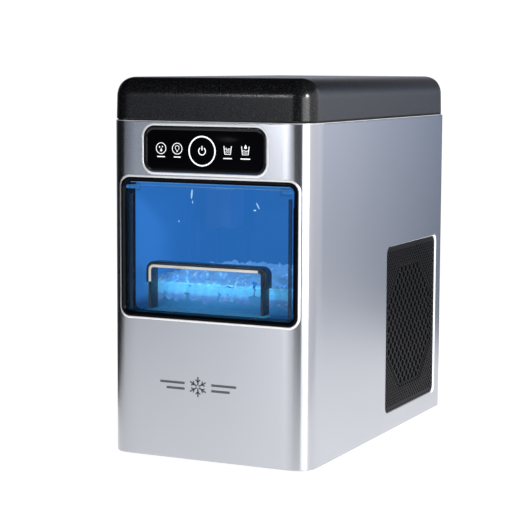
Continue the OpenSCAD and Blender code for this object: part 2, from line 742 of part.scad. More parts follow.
suction_route = [[-54, 34, 186.1], [-54, 34, 188.5], [-54, 34.6, 193], [-53.4, 38.5, 200],
    [-52, 47, 205.5], [-49.5, 62, 207], [-46.8, 78, 203.5], [-44.4, 90, 192], [-44, 94, 172],
    [-44, 94, 145], [-44, 94, 132], [-44, 94, 127], [-44, 94, 124.1]];
module refrigerant_lines() color(copper) {
    swept(discharge_route, 3, [0.3, 0.9, 0.5]);
    swept(liquid_route, 2.5, [0.6, 0.4, -0.6]);
    swept(capillary_route, 1.5, [1, 0, 0.1]);
    swept(suction_route, 4, [1, 0, 0.1]);
}

module control_box() color("#d5dae0") {
    difference() {
        block([-66, 56, 216], [46, 146, 240]);
        block([-64, 58, 218], [44, 144, 241]);
    }
    for (x = [-50, 20]) block([x, 146, 216], [x + 14, rear_y - 3.7, 219]);
}

module control_board() color("darkgreen") {
    block([-62, 60, 224], [42, 142, 225.6]);
    for (x = [-58, 38], y = [64, 138]) ring_z(x, y, 218, 224, 2.5);
    block([-50, 80, 225.6], [-20, 110, 245]);
    for (k = [0:2]) ring_z(4 + k * 14, 90, 225.6, 242, 5);
    block([0, 112, 225.6], [34, 134, 236]);
}

module power_inlet() color(black) {
    difference() {
        union() {
            block([34, 141, 29], [62, rear_y, 51]);
            block([32, rear_y, 27], [64, rear_y + 0.5, 53]);
        }
        block([37, 146, 32], [59, rear_y + 1, 48]);
    }
    for (x = [-7, 0, 7]) block([47.2 + x, 146, 38], [48.8 + x, 155, 43]);
}

module rear_screws() color("silver") for (z = rear_screw_z, s = [-1, 1]) {
    rod_y(s * 78.5, z, rear_y, body_d / 2, 3);
    rod_y(s * 78.5, z, rear_y - 8, rear_y, 1.4);
}

casing_wrap();
rear_cover();
base_tray();
base_plate();
feet();
foot_screws();
top_lid();
top_rails();
lid_screws();
window_bezel();
panel_bezel();
touch_panel();
display_board();
window_door();
hinge_pins();
side_grille();
air_filter();
chamber_liner();
ice_chute();
chamber_light();
ice_level_sensor();
ice_basket();
basket_handle();
handle_grip();
water_tank();
tank_cover();
water_level_probe();
pump_body();
pump_motor();
pump_impeller();
suction_hose();
feed_hose();
drain_hose();
drain_port();
drain_plug();
evaporator();
insulation();
auger();
auger_bearings();
shaft_seal();
extruder_head();
gearbox_housing();
gearbox_cover();
drive_gear();
motor_pinion();
gear_motor();
unit_bracket();
compressor();
compressor_mounts();
compressor_bolts();
condenser();
fan_shroud();
fan_rotor();
fan_motor();
filter_drier();
refrigerant_lines();
control_box();
control_board();
power_inlet();
rear_screws();
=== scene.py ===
"""Looks of the countertop ice maker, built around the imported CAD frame.
Sizes are millimetres until a mesh is made. +Z is up and the front faces -Y."""
from math import cos, hypot, pi, radians, sin, sqrt
from random import Random

import bmesh
import bpy
from mathutils import Matrix, Vector


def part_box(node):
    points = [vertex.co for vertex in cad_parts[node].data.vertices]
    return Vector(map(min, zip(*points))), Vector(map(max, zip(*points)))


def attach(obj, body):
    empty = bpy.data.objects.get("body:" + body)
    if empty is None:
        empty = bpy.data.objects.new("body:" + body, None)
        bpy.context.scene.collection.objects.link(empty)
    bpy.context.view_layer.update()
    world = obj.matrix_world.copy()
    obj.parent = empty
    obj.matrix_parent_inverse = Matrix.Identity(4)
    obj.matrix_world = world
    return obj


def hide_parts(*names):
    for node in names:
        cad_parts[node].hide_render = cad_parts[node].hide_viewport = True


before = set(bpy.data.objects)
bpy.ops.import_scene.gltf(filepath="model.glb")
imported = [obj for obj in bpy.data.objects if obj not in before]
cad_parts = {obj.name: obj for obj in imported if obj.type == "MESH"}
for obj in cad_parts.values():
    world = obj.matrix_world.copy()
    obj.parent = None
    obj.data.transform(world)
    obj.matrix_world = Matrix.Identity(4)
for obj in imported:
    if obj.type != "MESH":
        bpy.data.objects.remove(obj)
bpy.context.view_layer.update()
MM = 0.001


def corners(node):
    """Lowest and highest corners of a CAD node, in millimetres."""
    low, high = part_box(node)
    return low / MM, high / MM


# ---------------------------------------------------------------- driving sizes
case_low, case_high = corners("casing_wrap")
lid_low, lid_high = corners("top_lid")
bezel_low, bezel_high = corners("window_bezel")
panel_low, panel_high = corners("touch_panel")
grille_low, grille_high = corners("side_grille")
liner_low, liner_high = corners("chamber_liner")
basket_low, basket_high = corners("ice_basket")
ribbon_low, ribbon_high = corners("basket_handle")
grip_low, grip_high = corners("handle_grip")

HALF_W = case_high.x
FRONT_Y = case_low.y
REAR_Y = case_high.y
FRONT_R, REAR_R = 16.0, 10.0
SHEET = 1.0
WINDOW_W, WINDOW_H, WINDOW_R = 162.5, 117.0, 8.0
WINDOW_Z = (bezel_low.z + bezel_high.z) / 2
OPEN_W, OPEN_H, OPEN_R = 154.6, 110.0, 5.0
PANEL_X = (panel_low.x + panel_high.x) / 2
PANEL_Z = (panel_low.z + panel_high.z) / 2
PANEL_W, PANEL_H, PANEL_R = 112.3, 38.0, 9.4
GRILLE_Y = (grille_low.y + grille_high.y) / 2
GRILLE_Z = (grille_low.z + grille_high.z) / 2
GRILLE_D, GRILLE_H, GRILLE_R = 128.0, 151.0, 7.0
HANDLE_X = (ribbon_low.x + ribbon_high.x) / 2
HINGE_Y = FRONT_Y + 3.4
HINGE_Z = WINDOW_Z + OPEN_H / 2 - 4.5


# ---------------------------------------------------------------- camera
CAMERA_PLACE = (0.6421, -1.4183, 0.3360)
CAMERA_LENS, CAMERA_TURN, CAMERA_DIP, CAMERA_ROLL = 118.92, 25.245, 6.515, 0.262


def make_camera():
    """Long lens from the front right, a little above the lid. Its place is in metres."""
    data = bpy.data.cameras.new("camera")
    data.sensor_width = 36.0
    data.lens = CAMERA_LENS
    data.clip_end = 50.0
    camera = bpy.data.objects.new("camera", data)
    turn = Matrix.Rotation(radians(CAMERA_TURN), 3, "Z")
    tilt = Matrix.Rotation(radians(90 - CAMERA_DIP), 3, "X")
    roll = Matrix.Rotation(radians(CAMERA_ROLL), 3, "Z")
    camera.matrix_world = Matrix.Translation(CAMERA_PLACE) @ (turn @ tilt @ roll).to_4x4()
    bpy.context.scene.collection.objects.link(camera)
    bpy.context.scene.camera = camera


# ---------------------------------------------------------------- materials
def new_nodes(tree, *kinds):
    """New shader nodes of the given kinds."""
    return [tree.nodes.new("ShaderNode" + kind) for kind in kinds]


def fill_ramp(ramp, stops):
    """Sets a colour ramp to (position, colour) stops."""
    for k, (position, colour) in enumerate(stops):
        if k == 0:
            element = ramp.elements[0]
        elif k == len(stops) - 1:
            element = ramp.elements[len(ramp.elements) - 1]
        else:
            element = ramp.elements.new(position)
        element.position = position
        element.color = (*colour, 1)


class Look:
    """A Principled material with helpers for procedural detail in object space."""

    def __init__(self, name, colour, roughness, metallic=0.0, **sockets):
        self.material = bpy.data.materials.new(name)
        self.material.use_nodes = True
        self.tree = self.material.node_tree
        self.shader = self.tree.nodes["Principled BSDF"]
        self.set("Base Color", (*colour, 1.0))
        self.set("Roughness", roughness)
        self.set("Metallic", metallic)
        for key, value in sockets.items():
            self.set(key.replace("_", " "), value)
        self.colour = colour

    def set(self, socket, value):
        self.shader.inputs[socket].default_value = value

    def link(self, a, b):
        self.tree.links.new(a, b)

    def noise(self, scale, stretch=(1, 1, 1), detail=3.0):
        """Noise over the object's own coordinates, in features a metre."""
        place, mapping, noise = new_nodes(self.tree, "TexCoord", "Mapping", "TexNoise")
        mapping.inputs["Scale"].default_value = stretch
        noise.inputs["Scale"].default_value = scale
        noise.inputs["Detail"].default_value = detail
        self.link(place.outputs["Object"], mapping.inputs["Vector"])
        self.link(mapping.outputs["Vector"], noise.inputs["Vector"])
        return noise.outputs["Fac"]

    def mottle(self, other, scale, stretch=(1, 1, 1), low=0.35, high=0.65):
        """Lets the base colour drift towards another colour."""
        ramp, = new_nodes(self.tree, "ValToRGB")
        fill_ramp(ramp.color_ramp, ((low, self.colour), (high, other)))
        self.link(self.noise(scale, stretch), ramp.inputs["Fac"])
        self.link(ramp.outputs["Color"], self.shader.inputs["Base Color"])
        return self

    def wear(self, low, high, scale, stretch=(1, 1, 1)):
        """Lets roughness drift between two values."""
        span, = new_nodes(self.tree, "MapRange")
        span.inputs["From Min"].default_value = 0.3
        span.inputs["From Max"].default_value = 0.7
        span.inputs["To Min"].default_value = low
        span.inputs["To Max"].default_value = high
        self.link(self.noise(scale, stretch), span.inputs["Value"])
        self.link(span.outputs["Result"], self.shader.inputs["Roughness"])
        return self

    def grain(self, scale, height, stretch=(1, 1, 1), detail=2.0):
        """Bump of a given height in metres."""
        bump, = new_nodes(self.tree, "Bump")
        bump.inputs["Strength"].default_value = 1.0
        bump.inputs["Distance"].default_value = height
        self.link(self.noise(scale, stretch, detail), bump.inputs["Height"])
        self.link(bump.outputs["Normal"], self.shader.inputs["Normal"])
        return self

    def glow(self, colour, strength):
        """Gives off light of its own."""
        self.set("Emission Color", (*colour, 1.0))
        self.set("Emission Strength", strength)
        return self

    def ramp_along(self, axis, stops, low, high):
        """Colour by the place along an axis of the object, from low to high in metres."""
        place, split, span, ramp = new_nodes(self.tree, "TexCoord", "SeparateXYZ", "MapRange", "ValToRGB")
        span.inputs["From Min"].default_value = low
        span.inputs["From Max"].default_value = high
        fill_ramp(ramp.color_ramp, stops)
        self.link(place.outputs["Object"], split.inputs["Vector"])
        self.link(split.outputs[axis], span.inputs["Value"])
        self.link(span.outputs["Result"], ramp.inputs["Fac"])
        return ramp.outputs["Color"]

    def dim(self, axis, shares, low, high):
        """Scales the glow by a share that changes along an axis, from low to high in metres."""
        strength = self.shader.inputs["Emission Strength"]
        product, = new_nodes(self.tree, "Math")
        product.operation = "MULTIPLY"
        product.inputs[1].default_value = strength.default_value
        if strength.links:
            self.link(strength.links[0].from_socket, product.inputs[1])
        stops = [(position, (share,) * 3) for position, share in shares]
        self.link(self.ramp_along(axis, stops, low, high), product.inputs[0])
        self.link(product.outputs["Value"], strength)
        return self


def see_through(look, opaque):
    """Mixes a look with Transparent. Its own share is opaque, and a little more edge on."""
    clear, mix, fresnel, total = new_nodes(look.tree, "BsdfTransparent", "MixShader", "Fresnel", "Math")
    fresnel.inputs["IOR"].default_value = 1.06
    total.operation = "ADD"
    total.use_clamp = True
    total.inputs[1].default_value = opaque
    look.link(fresnel.outputs["Fac"], total.inputs[0])
    look.link(total.outputs["Value"], mix.inputs["Fac"])
    look.link(clear.outputs["BSDF"], mix.inputs[1])
    look.link(look.shader.outputs["BSDF"], mix.inputs[2])
    look.link(mix.outputs["Shader"], look.tree.nodes["Material Output"].inputs["Surface"])
    return look


# Shares of the light across the chamber: full between the handle's legs, less beside them.
BESIDE_HANDLE = ([(0.0, 0.5), (0.1, 0.6), (0.16, 1.0), (0.82, 1.0), (0.9, 0.6), (1.0, 0.5)], -0.07, 0.07)
# Shares of the light upwards from a floor: weak at the floor itself.
ABOVE_FLOOR = [(0.0, 0.2), (0.35, 0.3), (0.75, 1.0), (1.0, 1.0)]
CHAMBER_FLOOR, BASKET_FLOOR, FADE = 0.124, 0.127, 0.02


def ice_look():
    """Nugget ice with its light painted in: colour bands by height as painted light and shade, violet at the
    tray's foot, bright cyan through its upper half, hazy blue above the rim; the glow is painted chamber
    light, dimmed beside the handle as painted shade, and the light flecks are painted glints.
    """
    look = Look("nugget_ice", (0.1, 0.4, 0.75), 0.22)
    # Bands of painted light and shade by height.
    layers = ((0.0, (0.04, 0.09, 0.3)), (0.27, (0.06, 0.14, 0.42)), (0.33, (0.1, 0.42, 0.72)),
              (0.5, (0.13, 0.52, 0.82)), (0.56, (0.08, 0.25, 0.5)), (1.0, (0.07, 0.2, 0.42)))
    # Light flecks mixed in by noise are painted glints.
    glint_ramp, mix = new_nodes(look.tree, "ValToRGB", "MixRGB")
    fill_ramp(glint_ramp.color_ramp, ((0.58, (0, 0, 0)), (0.85, (1, 1, 1))))
    look.link(look.noise(170, detail=4.0), glint_ramp.inputs["Fac"])
    look.link(glint_ramp.outputs["Color"], mix.inputs["Fac"])
    look.link(look.ramp_along("Z", layers, 0.130, 0.170), mix.inputs["Color1"])
    mix.inputs["Color2"].default_value = (0.3, 0.72, 0.92, 1)
    for socket in ("Base Color", "Emission Color"):
        look.link(mix.outputs["Color"], look.shader.inputs[socket])
    look.set("Emission Strength", 1.05)
    return look.dim("X", *BESIDE_HANDLE).grain(600, 0.0003)


def make_looks():
    """Every material of the object, by a plain name."""
    looks = {}
    steel = Look("brushed_steel", (0.53, 0.543, 0.58), 0.25, 1.0,
                 Anisotropic=0.86, Anisotropic_Rotation=0.25)
    steel.mottle((0.515, 0.528, 0.565), 9, (1, 1, 0.5))
    steel.wear(0.245, 0.258, 260, (0.05, 0.05, 6))
    steel.grain(420, 0.00000015, (0.03, 0.03, 8))
    tangent, = new_nodes(steel.tree, "Tangent")
    tangent.direction_type = "RADIAL"
    tangent.axis = "Z"
    steel.link(tangent.outputs["Tangent"], steel.shader.inputs["Tangent"])
    looks["steel"] = steel
    # The lips' near-white, half-metal colour is a painted highlight, brighter than the steel they are
    # pressed from.
    looks["lip_highlight"] = Look("lip_painted_highlight", (0.92, 0.93, 0.95), 0.38, 0.45).wear(0.34, 0.42, 300)
    looks["emblem"] = Look("etched_steel", (0.13, 0.135, 0.15), 0.4, 1.0).wear(0.35, 0.5, 500)
    # The lid's fine light mottle is painted glints, standing in for the sparkle of its grain.
    looks["lid"] = Look("textured_black", (0.004, 0.004, 0.005), 0.19, Specular_IOR_Level=0.31).mottle(
        (0.026, 0.027, 0.029), 1000, low=0.5, high=0.72).grain(700, 0.00006)
    looks["black"] = Look("moulded_black", (0.01, 0.01, 0.011), 0.38).mottle(
        (0.015, 0.015, 0.017), 40).grain(1400, 0.00002)
    looks["grille"] = Look("grille_black", (0.006, 0.006, 0.007), 0.45, Specular_IOR_Level=0.07).mottle(
        (0.008, 0.008, 0.01), 40).grain(1500, 0.00002)
    looks["gloss"] = Look("gloss_black", (0.006, 0.006, 0.008), 0.12, Specular_IOR_Level=0.3).wear(
        0.08, 0.18, 30)
    looks["touch"] = Look("touch_glass", (0.002, 0.002, 0.003), 0.12, Specular_IOR_Level=0.004).wear(
        0.1, 0.14, 22)
    looks["print"] = Look("panel_print", (0.85, 0.87, 0.9), 0.4).mottle(
        (0.8, 0.82, 0.85), 300).glow((1, 1, 1), 0.6)
    looks["bezel"] = Look("bezel_black", (0.0022, 0.0022, 0.0035), 0.25, Specular_IOR_Level=0.06).wear(
        0.2, 0.3, 60)
    looks["pane"] = see_through(Look(
        "window_pane", (0.02, 0.06, 0.12), 0.04, Specular_IOR_Level=0.18).wear(0.03, 0.07, 20), 0.07)
    # Dark see-through strips at the pane's sides: painted shade along the window's side edges.
    looks["return"] = see_through(Look(
        "pane_side_shade", (0.012, 0.03, 0.07), 0.2, Specular_IOR_Level=0.3).wear(0.15, 0.3, 60), 0.65)
    # Pale glowing lines along the pane's top edge and hinge line: painted highlights.
    looks["edge"] = Look("pane_highlight_lines", (0.2, 0.42, 0.62), 0.3).mottle((0.12, 0.3, 0.5), 60).glow(
        (0.12, 0.35, 0.6), 0.25)
    # The liner's glow is painted light from the chamber lamp, fading towards the floor as painted shade.
    looks["liner"] = Look("lit_liner", (0.012, 0.06, 0.19), 0.42, Specular_IOR_Level=0.2).mottle(
        (0.016, 0.075, 0.23), 9).glow((0.018, 0.13, 0.385), 0.98).dim(
        "Z", ABOVE_FLOOR, CHAMBER_FLOOR, CHAMBER_FLOOR + FADE)
    # The chute's glow is painted light from the chamber lamp, a little brighter than the liner's.
    looks["chute"] = Look("lit_chute", (0.012, 0.055, 0.18), 0.3, Specular_IOR_Level=0.3).mottle(
        (0.016, 0.07, 0.22), 30).glow((0.02, 0.115, 0.345), 1.1)
    # The basket's glow is painted light from the chamber lamp, with painted shade towards its floor and
    # beside the handle.
    basket = Look("clear_basket", (0.06, 0.3, 0.55), 0.12).wear(0.08, 0.2, 60).glow((0.07, 0.38, 0.66), 0.6)
    basket.dim("Z", ABOVE_FLOOR, BASKET_FLOOR, BASKET_FLOOR + FADE).dim("X", *BESIDE_HANDLE)
    looks["basket"] = see_through(basket, 0.24)
    looks["ice"] = ice_look()
    looks["smoke"] = Look("smoked_handle", (0.006, 0.012, 0.022), 0.16).mottle((0.01, 0.02, 0.034), 40)
    # A pale glowing strip along the handle's front edge: a painted highlight.
    looks["pale"] = Look("painted_handle_highlight", (0.5, 0.47, 0.4), 0.3).mottle((0.72, 0.7, 0.64), 45).glow(
        (1.0, 0.95, 0.85), 0.25)
    # Condensation drops; their light colour and glow are painted highlights.
    looks["drops"] = Look("condensation", (0.3, 0.55, 0.8), 0.08).mottle((0.45, 0.7, 0.95), 300).glow(
        (0.3, 0.6, 0.9), 0.45)
    looks["sensor"] = Look("sensor_black", (0.01, 0.03, 0.08), 0.3).wear(0.25, 0.4, 200)
    looks["rubber"] = Look("rubber", (0.02, 0.02, 0.02), 0.75).grain(1200, 0.00003)
    looks["screw"] = Look("zinc_screw", (0.6, 0.6, 0.58), 0.3, 1.0).wear(0.22, 0.4, 400)
    looks["sheet"] = Look("galvanised_sheet", (0.55, 0.57, 0.59), 0.42, 0.9).mottle(
        (0.45, 0.48, 0.5), 120)
    looks["tank"] = Look("natural_plastic", (0.72, 0.76, 0.8), 0.45).mottle((0.66, 0.7, 0.75), 30)
    looks["copper"] = Look("copper_tube", (0.72, 0.36, 0.2), 0.3, 1.0).mottle((0.55, 0.27, 0.16), 80)
    looks["freezer"] = Look("turned_stainless", (0.6, 0.61, 0.63), 0.3, 1.0).wear(
        0.22, 0.38, 500, (1, 1, 12))
    looks["aluminium"] = Look("mill_aluminium", (0.68, 0.69, 0.71), 0.38, 1.0).wear(0.3, 0.5, 90)
    looks["brass"] = Look("machined_brass", (0.7, 0.5, 0.2), 0.28, 1.0).wear(0.2, 0.36, 300)
    looks["board"] = Look("solder_mask", (0.01, 0.12, 0.05), 0.3).mottle((0.012, 0.18, 0.07), 200)
    looks["foam"] = Look("closed_foam", (0.05, 0.05, 0.055), 0.9).grain(700, 0.0003)
    looks["machine"] = Look("machine_paint", (0.018, 0.018, 0.02), 0.32).wear(0.25, 0.4, 100)
    looks["white"] = Look("white_plastic", (0.75, 0.76, 0.77), 0.4).mottle((0.7, 0.71, 0.73), 50)
    looks["lens"] = Look("light_lens", (0.7, 0.82, 1.0), 0.35).mottle(
        (0.6, 0.75, 1.0), 90).glow((0.25, 0.55, 1.0), 2.0)
    looks["mesh"] = Look("filter_mesh", (0.006, 0.006, 0.007), 0.8).grain(1600, 0.0002)
    return {name: look.material for name, look in looks.items()}


LOOKS = make_looks()


# ---------------------------------------------------------------- outlines
def arc(cx, cy, r, steps=48, start=0.0, sweep=360.0):
    """Points along an arc. A full circle leaves out its last point."""
    last = steps if sweep < 360 else steps - 1
    return [(cx + r * cos(radians(start + sweep * k / steps)),
             cy + r * sin(radians(start + sweep * k / steps))) for k in range(last + 1)]


def round_loop(w, h, r, steps=10):
    """Centred rectangle with round corners, anticlockwise."""
    points = []
    for sx, sy, start in ((1, 1, 0), (-1, 1, 90), (-1, -1, 180), (1, -1, 270)):
        points += arc(sx * (w / 2 - r), sy * (h / 2 - r), r, steps, start, 90)
    return points


def on_front(loop, y, cx=0.0, cz=0.0):
    return [(cx + u, y, cz + v) for u, v in loop]


def on_side(loop, x, cy=0.0, cz=0.0):
    return [(x, cy + u, cz + v) for u, v in loop]


def on_floor(loop, z, cx=0.0, cy=0.0):
    return [(cx + u, cy + v, z) for u, v in loop]


def soft_corner(r, onset, lead, steps=24, lead_steps=6):
    """Quarter turn from facing -Y to facing +X, with a slight bend of lead degrees at each end.

    Gives (x, y, nx, ny) from the corner's own start at 0, 0, and the corner's reach each way."""
    gentle = radians(lead)
    span = (pi / 2 - 2 * gentle) / steps
    stride = onset / lead_steps
    ease = [gentle * (k + 0.5) / lead_steps for k in range(lead_steps)]
    turns = [(turn, stride) for turn in ease]
    turns += [(gentle + span * (k + 0.5), r * span) for k in range(steps)]
    turns += [(pi / 2 - gentle + turn, stride) for turn in ease]
    x = y = 0.0
    points = [(0.0, 0.0, 0.0, -1.0)]
    for k, (turn, length) in enumerate(turns):
        x += length * cos(turn)
        y += length * sin(turn)
        facing = (turn + turns[k + 1][0]) / 2 if k + 1 < len(turns) else pi / 2
        points.append((x, y, sin(facing), -cos(facing)))
    return points, x


def body_outline(w, d, front, rear_r, steps=22):
    """Closed outline of the casing or lid with outward normals, anticlockwise from above."""
    corner, reach = front
    half, cy = w / 2, (REAR_Y + FRONT_Y) / 2
    y0, y1 = cy - d / 2, cy + d / 2
    right = [(half - reach + x, y0 + y, nx, ny) for x, y, nx, ny in corner]
    rear = []
    for cx, start in ((half - rear_r, 0), (-half + rear_r, 90)):
        for k in range(steps + 1):
            a = radians(start + 90 * k / steps)
            rear.append((cx + rear_r * cos(a), y1 - rear_r + rear_r * sin(a), cos(a), sin(a)))
    left = [(-x, y, -nx, ny) for x, y, nx, ny in reversed(right)]
    return right + rear + left


def inset_loop(outline, inset, z):
    """Outline drawn in by a given amount. Past a corner's own radius the corner turns sharp."""
    half = max(p[0] for p in outline) - inset
    low, high = min(p[1] for p in outline) + inset, max(p[1] for p in outline) - inset
    return [(min(max(x - nx * inset, -half), half), min(max(y - ny * inset, low), high), z)
            for x, y, nx, ny in outline]


def rings(outline, profile):
    """The outline at each (inset, height) of a profile."""
    return [inset_loop(outline, inset, z) for inset, z in profile]


STEEL_CORNER = soft_corner(FRONT_R, 10.0, 4.0)
STEEL_OUTLINE = body_outline(2 * HALF_W, REAR_Y - FRONT_Y, STEEL_CORNER, REAR_R)
LID_CORNER = soft_corner(17.0, 4.0, 3.0)


def steel_front(x):
    """y of the steel's outer face at x, seen from the front."""
    corner, reach = STEEL_CORNER
    over = abs(x) - (HALF_W - reach)
    if over <= 0:
        return FRONT_Y
    for a, b in zip(corner, corner[1:]):
        if b[0] >= over:
            return FRONT_Y + a[1] + (b[1] - a[1]) * (over - a[0]) / (b[0] - a[0])
    return FRONT_Y + reach


# ---------------------------------------------------------------- mesh building
class Shape:
    """Closed solids gathered into one mesh."""

    def __init__(self):
        self.points = []
        self.faces = []

    def add(self, points, faces):
        base = len(self.points)
        self.points += [tuple(p) for p in points]
        self.faces += [tuple(base + i for i in f) for f in faces]
        return self

    def loft(self, loops, ring=False):
        """Skins equal loops. A ring joins the last loop to the first, else both ends are capped."""
        n = len(loops[0])
        points = [p for loop in loops for p in loop]
        spans = len(loops) if ring else len(loops) - 1
        faces = []
        for i in range(spans):
            a, b = i * n, ((i + 1) % len(loops)) * n
            faces += [(a + j, a + (j + 1) % n, b + (j + 1) % n, b + j) for j in range(n)]
        if not ring:
            faces.append(tuple(range(n - 1, -1, -1)))
            faces.append(tuple((len(loops) - 1) * n + j for j in range(n)))
        return self.add(points, faces)

    def block(self, low, high, edge=0.4):
        """Box with bevelled edges."""
        (x0, y0, z0), (x1, y1, z1) = low, high
        cx, cy = (x0 + x1) / 2, (y0 + y1) / 2
        w, d = x1 - x0, y1 - y0
        e = min(edge, w / 4, d / 4, (z1 - z0) / 4)
        full = round_loop(w, d, e, 3)
        small = round_loop(w - 2 * e, d - 2 * e, e * 0.3, 3)
        return self.loft([on_floor(small, z0, cx, cy), on_floor(full, z0 + e, cx, cy),
                          on_floor(full, z1 - e, cx, cy), on_floor(small, z1, cx, cy)])

    def rod(self, start, end, r, steps=24, edge=0.3):
        """Round bar between two points with softened ends."""
        a, b = Vector(start), Vector(end)
        axis = (b - a).normalized()
        side = axis.orthogonal().normalized()
        up = axis.cross(side)
        e = min(edge, (b - a).length / 3, r / 2)
        loops = []
        for centre, radius in ((a, r - e), (a + axis * e, r), (b - axis * e, r), (b, r - e)):
            loops.append([tuple(centre + side * radius * cos(2 * pi * k / steps)
                                + up * radius * sin(2 * pi * k / steps)) for k in range(steps)])
        return self.loft(loops)

    def mesh(self, name):
        mesh = bpy.data.meshes.new(name)
        mesh.from_pydata([(x * MM, y * MM, z * MM) for x, y, z in self.points], [], self.faces)
        bm = bmesh.new()
        bm.from_mesh(mesh)
        bmesh.ops.remove_doubles(bm, verts=bm.verts, dist=1e-7)
        bmesh.ops.recalc_face_normals(bm, faces=bm.faces)
        bm.to_mesh(mesh)
        bm.free()
        return mesh

    def piece(self, name, look, body="root", slot=None, stands_for=(), sharp=32.0):
        """Makes the object, shades it, puts it on its body and hides the CAD nodes it stands for."""
        return dress(bpy.data.objects.new(name, self.mesh(name)), look, body, stands_for, sharp)


def dress(piece, look, body, stands_for=(), sharp=32.0):
    bpy.context.scene.collection.objects.link(piece)
    piece.data.materials.clear()
    piece.data.materials.append(LOOKS[look])
    smooth(piece.data, sharp)
    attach(piece, body)
    if stands_for:
        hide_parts(*stands_for)
    return piece


def smooth(mesh, sharp):
    mesh.polygons.foreach_set("use_smooth", [True] * len(mesh.polygons))
    mesh.set_sharp_from_angle(angle=radians(sharp))


def weight(piece):
    """Weights a piece's normals to its large faces."""
    normals = piece.modifiers.new("weighted", "WEIGHTED_NORMAL")
    normals.keep_sharp = True


def carve(shape, cutters, name):
    """Exact boolean difference of one shape and several cutters, as a new mesh."""
    scene = bpy.context.scene
    base = bpy.data.objects.new(name, shape.mesh(name))
    scene.collection.objects.link(base)
    tools = []
    for k, cutter in enumerate(cutters):
        tool = bpy.data.objects.new(f"{name}_cutter_{k}", cutter.mesh(f"{name}_cutter_{k}"))
        scene.collection.objects.link(tool)
        cut = base.modifiers.new("cut", "BOOLEAN")
        cut.operation = "DIFFERENCE"
        cut.solver = "EXACT"
        cut.object = tool
        tools.append(tool)
    graph = bpy.context.evaluated_depsgraph_get()
    result = bpy.data.meshes.new_from_object(base.evaluated_get(graph))
    for o in (base, *tools):
        old = o.data
        bpy.data.objects.remove(o)
        bpy.data.meshes.remove(old)
    result.name = name
    return result


# ---------------------------------------------------------------- outside: steel wrap
# Lip round the side opening, near-white as a painted highlight: a sliver round most of it, wide along the
# rear where the highlight falls.
LIP_SLIVER = 0.14
VENT_LIP = 2.1


def vent_edge(out):
    """Side opening's outline, drawn out by a given width at the rear and a sliver elsewhere."""
    points = []
    for u, v in round_loop(GRILLE_D, GRILLE_H, GRILLE_R, 16):
        rearward = min(max((2 * u / GRILLE_D - 0.86) / 0.1, 0.0), 1.0)
        share = LIP_SLIVER + (1 - LIP_SLIVER) * rearward
        points.append((u + 2 * out * share * u / GRILLE_D, v + 2 * out * share * v / GRILLE_H))
    return points


def make_casing():
    """Steel wrap: one folded sheet with openings, a soft hem and rolled lips round the openings, the hem and
    lips near-white as a painted highlight.
    """
    low, high = case_low.z, case_high.z
    wrap = Shape().loft(rings(STEEL_OUTLINE, [
        (1.0, low), (0.45, low + 0.15), (0.12, low + 0.5), (0.0, low + 1.1), (0.0, high - 0.5),
        (0.15, high - 0.15), (0.5, high), (SHEET, high), (SHEET, low + 1)]), ring=True)
    window = round_loop(WINDOW_W + 0.8, WINDOW_H + 0.8, WINDOW_R + 0.4, 12)
    panel = round_loop(PANEL_W + 0.7, PANEL_H + 0.7, PANEL_R + 0.3, 12)
    vent = vent_edge(VENT_LIP)
    cutters = [
        Shape().loft([on_front(window, y, 0, WINDOW_Z) for y in (FRONT_Y - 5, FRONT_Y + 9)]),
        Shape().loft([on_front(panel, y, PANEL_X, PANEL_Z) for y in (FRONT_Y - 5, FRONT_Y + 9)]),
        Shape().loft([on_side(vent, x, GRILLE_Y, GRILLE_Z) for x in (HALF_W - 4, HALF_W + 4)]),
        Shape().block((-74, REAR_Y - 8, low - 5), (74, REAR_Y + 5, high + 5), 0.01),
    ]
    casing = bpy.data.objects.new("casing", carve(wrap, cutters, "casing"))
    dress(casing, "steel", "root", ("casing_wrap",))
    weight(casing)

    lips = Shape()
    profile = [(2.3, -0.5), (2.3, 0.0), (1.8, 0.2), (1.3, 0.34), (0.8, 0.36), (0.45, 0.26), (0.3, 0.0),
               (0.3, -0.5)]

    def front_lip(width, height, r, cx, cz):
        loops = []
        for out, proud in profile:
            loop = round_loop(width + 2 * out, height + 2 * out, r + out, 12)
            loops.append([(cx + u, steel_front(cx + u) - proud, cz + v) for u, v in loop])
        lips.loft(loops, ring=True)

    front_lip(WINDOW_W, WINDOW_H, WINDOW_R, 0, WINDOW_Z)
    front_lip(PANEL_W, PANEL_H, PANEL_R, PANEL_X, PANEL_Z)
    lips.piece("rolled_lip_highlights", "lip_highlight", slot="wrap_steel", sharp=50)
    hem = rings(STEEL_OUTLINE, [
        (0.06, high - 1.15), (0.0, high - 0.95), (0.0, high - 0.35), (0.2, high - 0.02), (0.7, high + 0.02),
        (0.7, high - 1.15)])
    Shape().loft(hem, ring=True).piece("hem_highlight", "lip_highlight", slot="wrap_steel", sharp=50)


def stroke(shape, points, width, y, depth=0.1, closed=False):
    """Flat printed line of a given width along points on a plane facing the front."""
    n = len(points)
    left, right = [], []
    for i, (x, z) in enumerate(points):
        a = points[i - 1] if (closed or i > 0) else points[i]
        b = points[(i + 1) % n] if (closed or i < n - 1) else points[i]
        dx, dz = b[0] - a[0], b[1] - a[1]
        length = hypot(dx, dz) or 1.0
        nx, nz = -dz / length * width / 2, dx / length * width / 2
        left.append((x + nx, z + nz))
        right.append((x - nx, z - nz))
    y0, y1 = y, y - depth
    sections = [[(l[0], y0, l[1]), (l[0], y1, l[1]), (r[0], y1, r[1]), (r[0], y0, r[1])]
                for l, r in zip(left, right)]
    shape.loft(sections, ring=closed)


